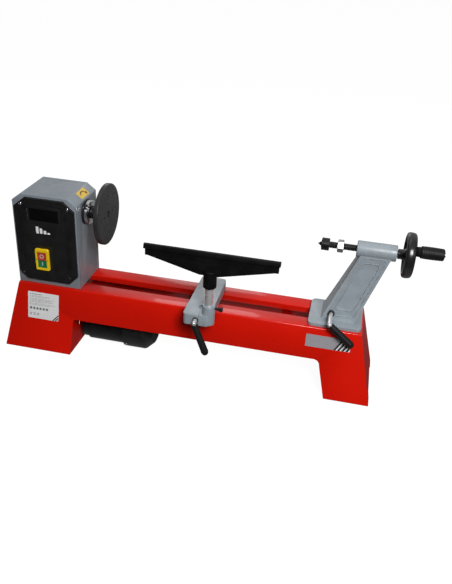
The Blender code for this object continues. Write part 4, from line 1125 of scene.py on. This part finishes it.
def build_tailstock():
    low = BED_TOP + GAP
    centre = (AXIS_Y, AXIS_Z)
    body = prism(rounded(BASE_LEFT, BASE_RIGHT, 6.0, 127.6, 12.0, 8), "Z", low, BASE_TOP)
    quad = ((0.0, 0.0), (1.0, 0.0), (1.0, 1.0), (0.0, 1.0))
    body = boolean(body, [arm_solid(quad, 0.0, 1.0)], "UNION")
    body = boolean(body, [rod("X", centre, BARREL_LEFT, BARREL_RIGHT, BARREL_R, 72, 1.5)], "UNION")
    cuts = [
        rod("X", centre, BARREL_LEFT - 10.0, BARREL_RIGHT + 10.0, ROD_R + 0.3, 56),
        arm_solid(arm_frame(0.10, 0.90, 0.09, 0.93, 0.12), -0.2, 0.022),
        arm_solid(arm_frame(0.25, 0.78, 0.17, 0.86, 0.12), -0.2, 0.05),
        block(TAIL_CAM_X - 11.5, TAIL_CAM_X + 11.5, 50.0, 84.0, 170.0, 213.0),
        rod("Y", (TAIL_CAM_X, TAIL_CAM_Z), 20.0, 92.0, CAM_R + 0.3, 40),
        rod("Y", (TAIL_CAM_X, TAIL_CAM_Z), 20.0, 38.5, 8.4, 40),
    ]
    body = boolean(body, cuts)
    make("tailstock_body", body, CAST_GREY, "tailstock", ("tailstock_casting",), bevel=1.0,
        segments=3, angle=20.0)
    rim = boolean(arm_solid(arm_frame(0.075, 0.925, 0.078, 0.942, 0.12), -0.010, 0.010),
                  [arm_solid(arm_frame(0.10, 0.90, 0.088, 0.932, 0.11), -0.1, 0.1)])
    bead = boolean(arm_solid(arm_frame(0.225, 0.805, 0.160, 0.870, 0.13), 0.004, 0.026),
                   [arm_solid(arm_frame(0.25, 0.78, 0.170, 0.860, 0.12), -0.1, 0.1)])
    make("tail_arm_rim", rim, CAST_GREY, "tailstock", bevel=0.5, segments=3, angle=30.0)
    make("tail_arm_bead", bead, CAST_GREY, "tailstock", bevel=0.5, segments=3, angle=30.0)
    ring = [(31.0, 5.3), (31.0, 7.5), (31.6, 8.1), (38.0, 8.1), (38.0, 5.3)]
    make("tail_collar", turned(ring, "Y", (TAIL_CAM_X, TAIL_CAM_Z), 48, ring=True), IRON_DARK, "tailstock",
         ("tail_bush",))
    build_lever("tail_lever", "tail_lever", TAIL_CAM_X, TAIL_CAM_Z, -18.0, 90.0, -50.5, 78.0)
    for node in ("tail_clamp_bolt", "tail_clamp_shoe", "tail_clamp_nut"):
        repaint(node, STEEL)

    head = [
        (TIP_X, 0.0), (TIP_X + 0.4, 0.5), (TIP_X + 7.2, 5.3), (TIP_X + 7.6, 8.0), (TIP_X + 8.5, 13.6),
        (TIP_X + 9.3, 14.4), (TIP_X + 13.0, 14.4), (TIP_X + 13.4, 13.9), (TIP_X + 14.4, 13.9),
        (TIP_X + 14.8, 14.4), (TIP_X + 25.5, 14.4), (TIP_X + 26.5, 13.4), (TIP_X + 26.5, 5.6),
        (TIP_X + 16.0, 5.6), (TIP_X + 16.0, 0.0),
    ]
    make("centre_head", turned(head, "X", centre, 64), BLACK_PAINT, "centre_point",
        ("live_centre",), smooth=35.0)
    screw = threaded(centre, TIP_X + 27.0, 443.5, ROD_R, ROD_R - 0.9, 2.5)
    stub = rod("X", centre, TIP_X + 17.0, TIP_X + 27.5, 5.2, 40)
    tail = rod("X", centre, 443.0, 483.0, ROD_R, 48, 0.8)
    make("feed_thread", merge(screw, stub, tail), IRON_DARK, "feed", ("feed_screw",),
        smooth=50.0)
    make("lock_nut_hex", hex_nut("X", centre, 307.0, 321.0, 15.0, ROD_R + 0.15), ZINC, "feed",
         ("lock_nut",), smooth=30.0)

    wheel = [(443.0, ROD_R + 0.3), (443.0, 10.9), (443.6, 11.5), (455.0, 12.0), (458.5, 13.4), (461.5,
        17.0), (463.0, 22.0), (463.6, 30.0), (463.0, 36.0), (460.4, 39.4), (457.6, 41.8), (456.9, 43.2)]
    wheel += [(456.9, 45.0), (457.2, 48.0), (458.2, 50.2), (460.0, 51.6), (462.4, 52.2), (466.0, 52.4),
        (470.0, 52.2), (473.6, 51.6), (476.0, 50.4), (477.8, 48.4), (478.9, 45.6), (479.2, 43.8), (478.6,
        42.4)]
    wheel += [(476.6, 41.4), (473.4, 39.4), (471.4, 36.0), (470.8, 28.0), (471.6, 20.0), (474.0, 15.4),
        (478.0, 13.2), (480.4, 12.4), (481.0, 11.6), (481.0, ROD_R + 0.3)]
    wheel = turned(wheel, "X", centre, 96, ring=True)
    wheel = boolean(wheel, [rod("X", (CRANK_Y, CRANK_Z), 468.0, 490.0, 4.3, 32)])
    make("wheel_rim", wheel, GLOSS_BLACK, "feed", ("handwheel",), smooth=40.0)
    screw = on_radius(rod("Z", (0.0, 0.0), -1.5, 0.5, 2.2, 24, 0.4), 449.0, centre, 11.6, 215.0)
    make("wheel_set_screw", screw, CHROME, "feed")
    pin = (CRANK_Y, CRANK_Z)
    axle = [(470.0, 4.0), (538.2, 4.0), (538.6, 5.6), (540.2, 5.6), (540.8, 4.8), (540.8, 2.4), (540.0,
        2.0), (540.0, 0.0)]
    make("crank_pin", turned(axle, "X", pin, 40), STEEL, "feed", ("crank_axle",))
    build_crank(pin)


def build_crank(pin):
    """Turning handle: a black neck up to the wheel, then a barrel with rings round it."""
    rows = [(479.6, 10.2), (480.2, 11.0), (487.2, 11.5), (487.8, 11.9), (488.4, 13.0), (489.4, 13.7)]
    rings_round = 9
    for k in range(rings_round * 8 + 1):
        t = k / (rings_round * 8)
        swell = 13.9 + 0.75 * sin(pi * min(1.0, 0.1 + 0.75 * t)) - 0.5 * t
        rows.append((491.0 + 44.0 * t, swell - 0.45 * (0.5 - 0.5 * cos(2.0 * pi * rings_round * t))))
    rows += [(536.4, 13.2), (537.6, 12.5), (538.5, 11.0), (538.5, 4.4), (479.6, 4.4)]
    make("crank_handle", turned(rows, "X", pin, 64, ring=True), GRIP, "crank",
        ("crank_grip",), smooth=50.0)


KEPT_EDGE = 0.5

build_bed()
build_headstock()
build_labels()
build_spindle()
build_motor()
build_rest()
build_tailstock()
for kept in ("end_plate_left", "end_plate_right", "motor_side_plate", "bed_tie_left", "bed_tie_right",
        "switch_body", "rest_clamp_shoe", "rest_clamp_nut", "tail_clamp_shoe", "tail_clamp_nut"):
    round_edges(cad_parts[kept], KEPT_EDGE, 2, 50.0)


# ---------------------------------------------------------------- studio
CAMERA_SPOT = Vector((0.31764, -1.35794, 1.00753))
CAMERA_TURNS = ((10.51, "Z"), (90.0 - 29.15, "X"), (3.46, "Z"))
LENS = 41.30
WHITE = (1.0, 1.0, 1.0, 1.0)
FLOOR_GREY = (0.14, 0.14, 0.14, 1.0)
FLOOR_GLOW = 0.94
ROOM_BASE = 0.03
ROOM_BEHIND = 0.42
ROOM_BELOW = 0.25
ROOM_ABOVE = 0.35
LIGHTS = (
    ("light_key", (1.0, -2.0, 2.0), (0.0, 0.0, 0.15), 0.9, 0.9, 79.0),
    ("light_top", (-0.2, 0.2, 2.4), (0.0, 0.0, 0.2), 1.6, 1.0, 4.5),
    ("light_right", (2.2, -0.9, 1.1), (0.0, 0.0, 0.25), 0.8, 0.8, 2.5),
    ("light_back", (-0.5, 2.4, 1.5), (0.0, 0.0, 0.2), 1.0, 1.0, 7.0),
)


def camera():
    """Camera at the photograph's angle."""
    data = bpy.data.cameras.new("camera")
    cam = bpy.data.objects.new("camera", data)
    SCENE.collection.objects.link(cam)
    turn, tilt, roll = [Matrix.Rotation(radians(a), 4, axis) for a, axis in CAMERA_TURNS]
    cam.matrix_world = Matrix.Translation(CAMERA_SPOT + ORIGIN) @ turn @ tilt @ roll
    data.sensor_fit = "AUTO"
    data.sensor_width = 36.0
    data.lens = LENS
    data.clip_start = 0.02
    data.clip_end = 60.0
    SCENE.camera = cam


def softbox(name, spot, target, wide, tall, power):
    """Rectangular light aimed at a point."""
    data = bpy.data.lights.new(name, "AREA")
    data.shape = "RECTANGLE"
    data.size = wide
    data.size_y = tall
    data.energy = power
    lamp = bpy.data.objects.new(name, data)
    SCENE.collection.objects.link(lamp)
    lamp.location = spot
    aim = Vector(target) - Vector(spot)
    lamp.rotation_euler = aim.to_track_quat("-Z", "Y").to_euler()


def studio():
    """Pale floor, and a room that looks white but lights the lathe darker in front and paler behind."""
    bm = bmesh.new()
    bmesh.ops.create_grid(bm, x_segments=1, y_segments=1, size=30.0)
    floor = as_object("floor", bm)
    floor.location.z = -0.0005
    mat = bpy.data.materials.new("floor_pale")
    mat.use_nodes = True
    shader = mat.node_tree.nodes["Principled BSDF"]
    shader.inputs["Base Color"].default_value = FLOOR_GREY
    shader.inputs["Roughness"].default_value = 0.9
    shader.inputs["Specular IOR Level"].default_value = 0.0
    shader.inputs["Emission Color"].default_value = WHITE
    shader.inputs["Emission Strength"].default_value = FLOOR_GLOW
    floor.data.materials.append(mat)
    floor.visible_diffuse = False
    floor.visible_glossy = False

    world = bpy.data.worlds.new("studio")
    SCENE.world = world
    world.use_nodes = True
    tree = world.node_tree
    nodes = tree.nodes
    sky = nodes["Background"]
    split = nodes.new("ShaderNodeSeparateXYZ")
    tree.links.new(nodes.new("ShaderNodeTexCoord").outputs["Generated"], split.inputs[0])

    def part(axis, low, high, amount):
        return map_range(tree, split.outputs[axis], low, high, 0.0, amount, "SMOOTHSTEP")

    total = calc(tree, "MULTIPLY", part("Y", 0.1, 0.7, ROOM_BEHIND), part("Z", -0.50, -0.26, 1.0))
    total = calc(tree, "ADD", total, ROOM_BASE)
    total = calc(tree, "ADD", part("Z", -0.55, -0.8, ROOM_BELOW), total)
    total = calc(tree, "ADD", part("Z", 0.45, 0.95, ROOM_ABOVE), total)
    pick = nodes.new("ShaderNodeMix")
    tree.links.new(nodes.new("ShaderNodeLightPath").outputs["Is Camera Ray"], pick.inputs[0])
    tree.links.new(total, pick.inputs[2])
    pick.inputs[3].default_value = 1.0
    tree.links.new(pick.outputs[0], sky.inputs["Strength"])
    sky.inputs["Color"].default_value = WHITE
    for light in LIGHTS:
        softbox(*light)


camera()
studio()
SCENE.view_settings.view_transform = "Standard"
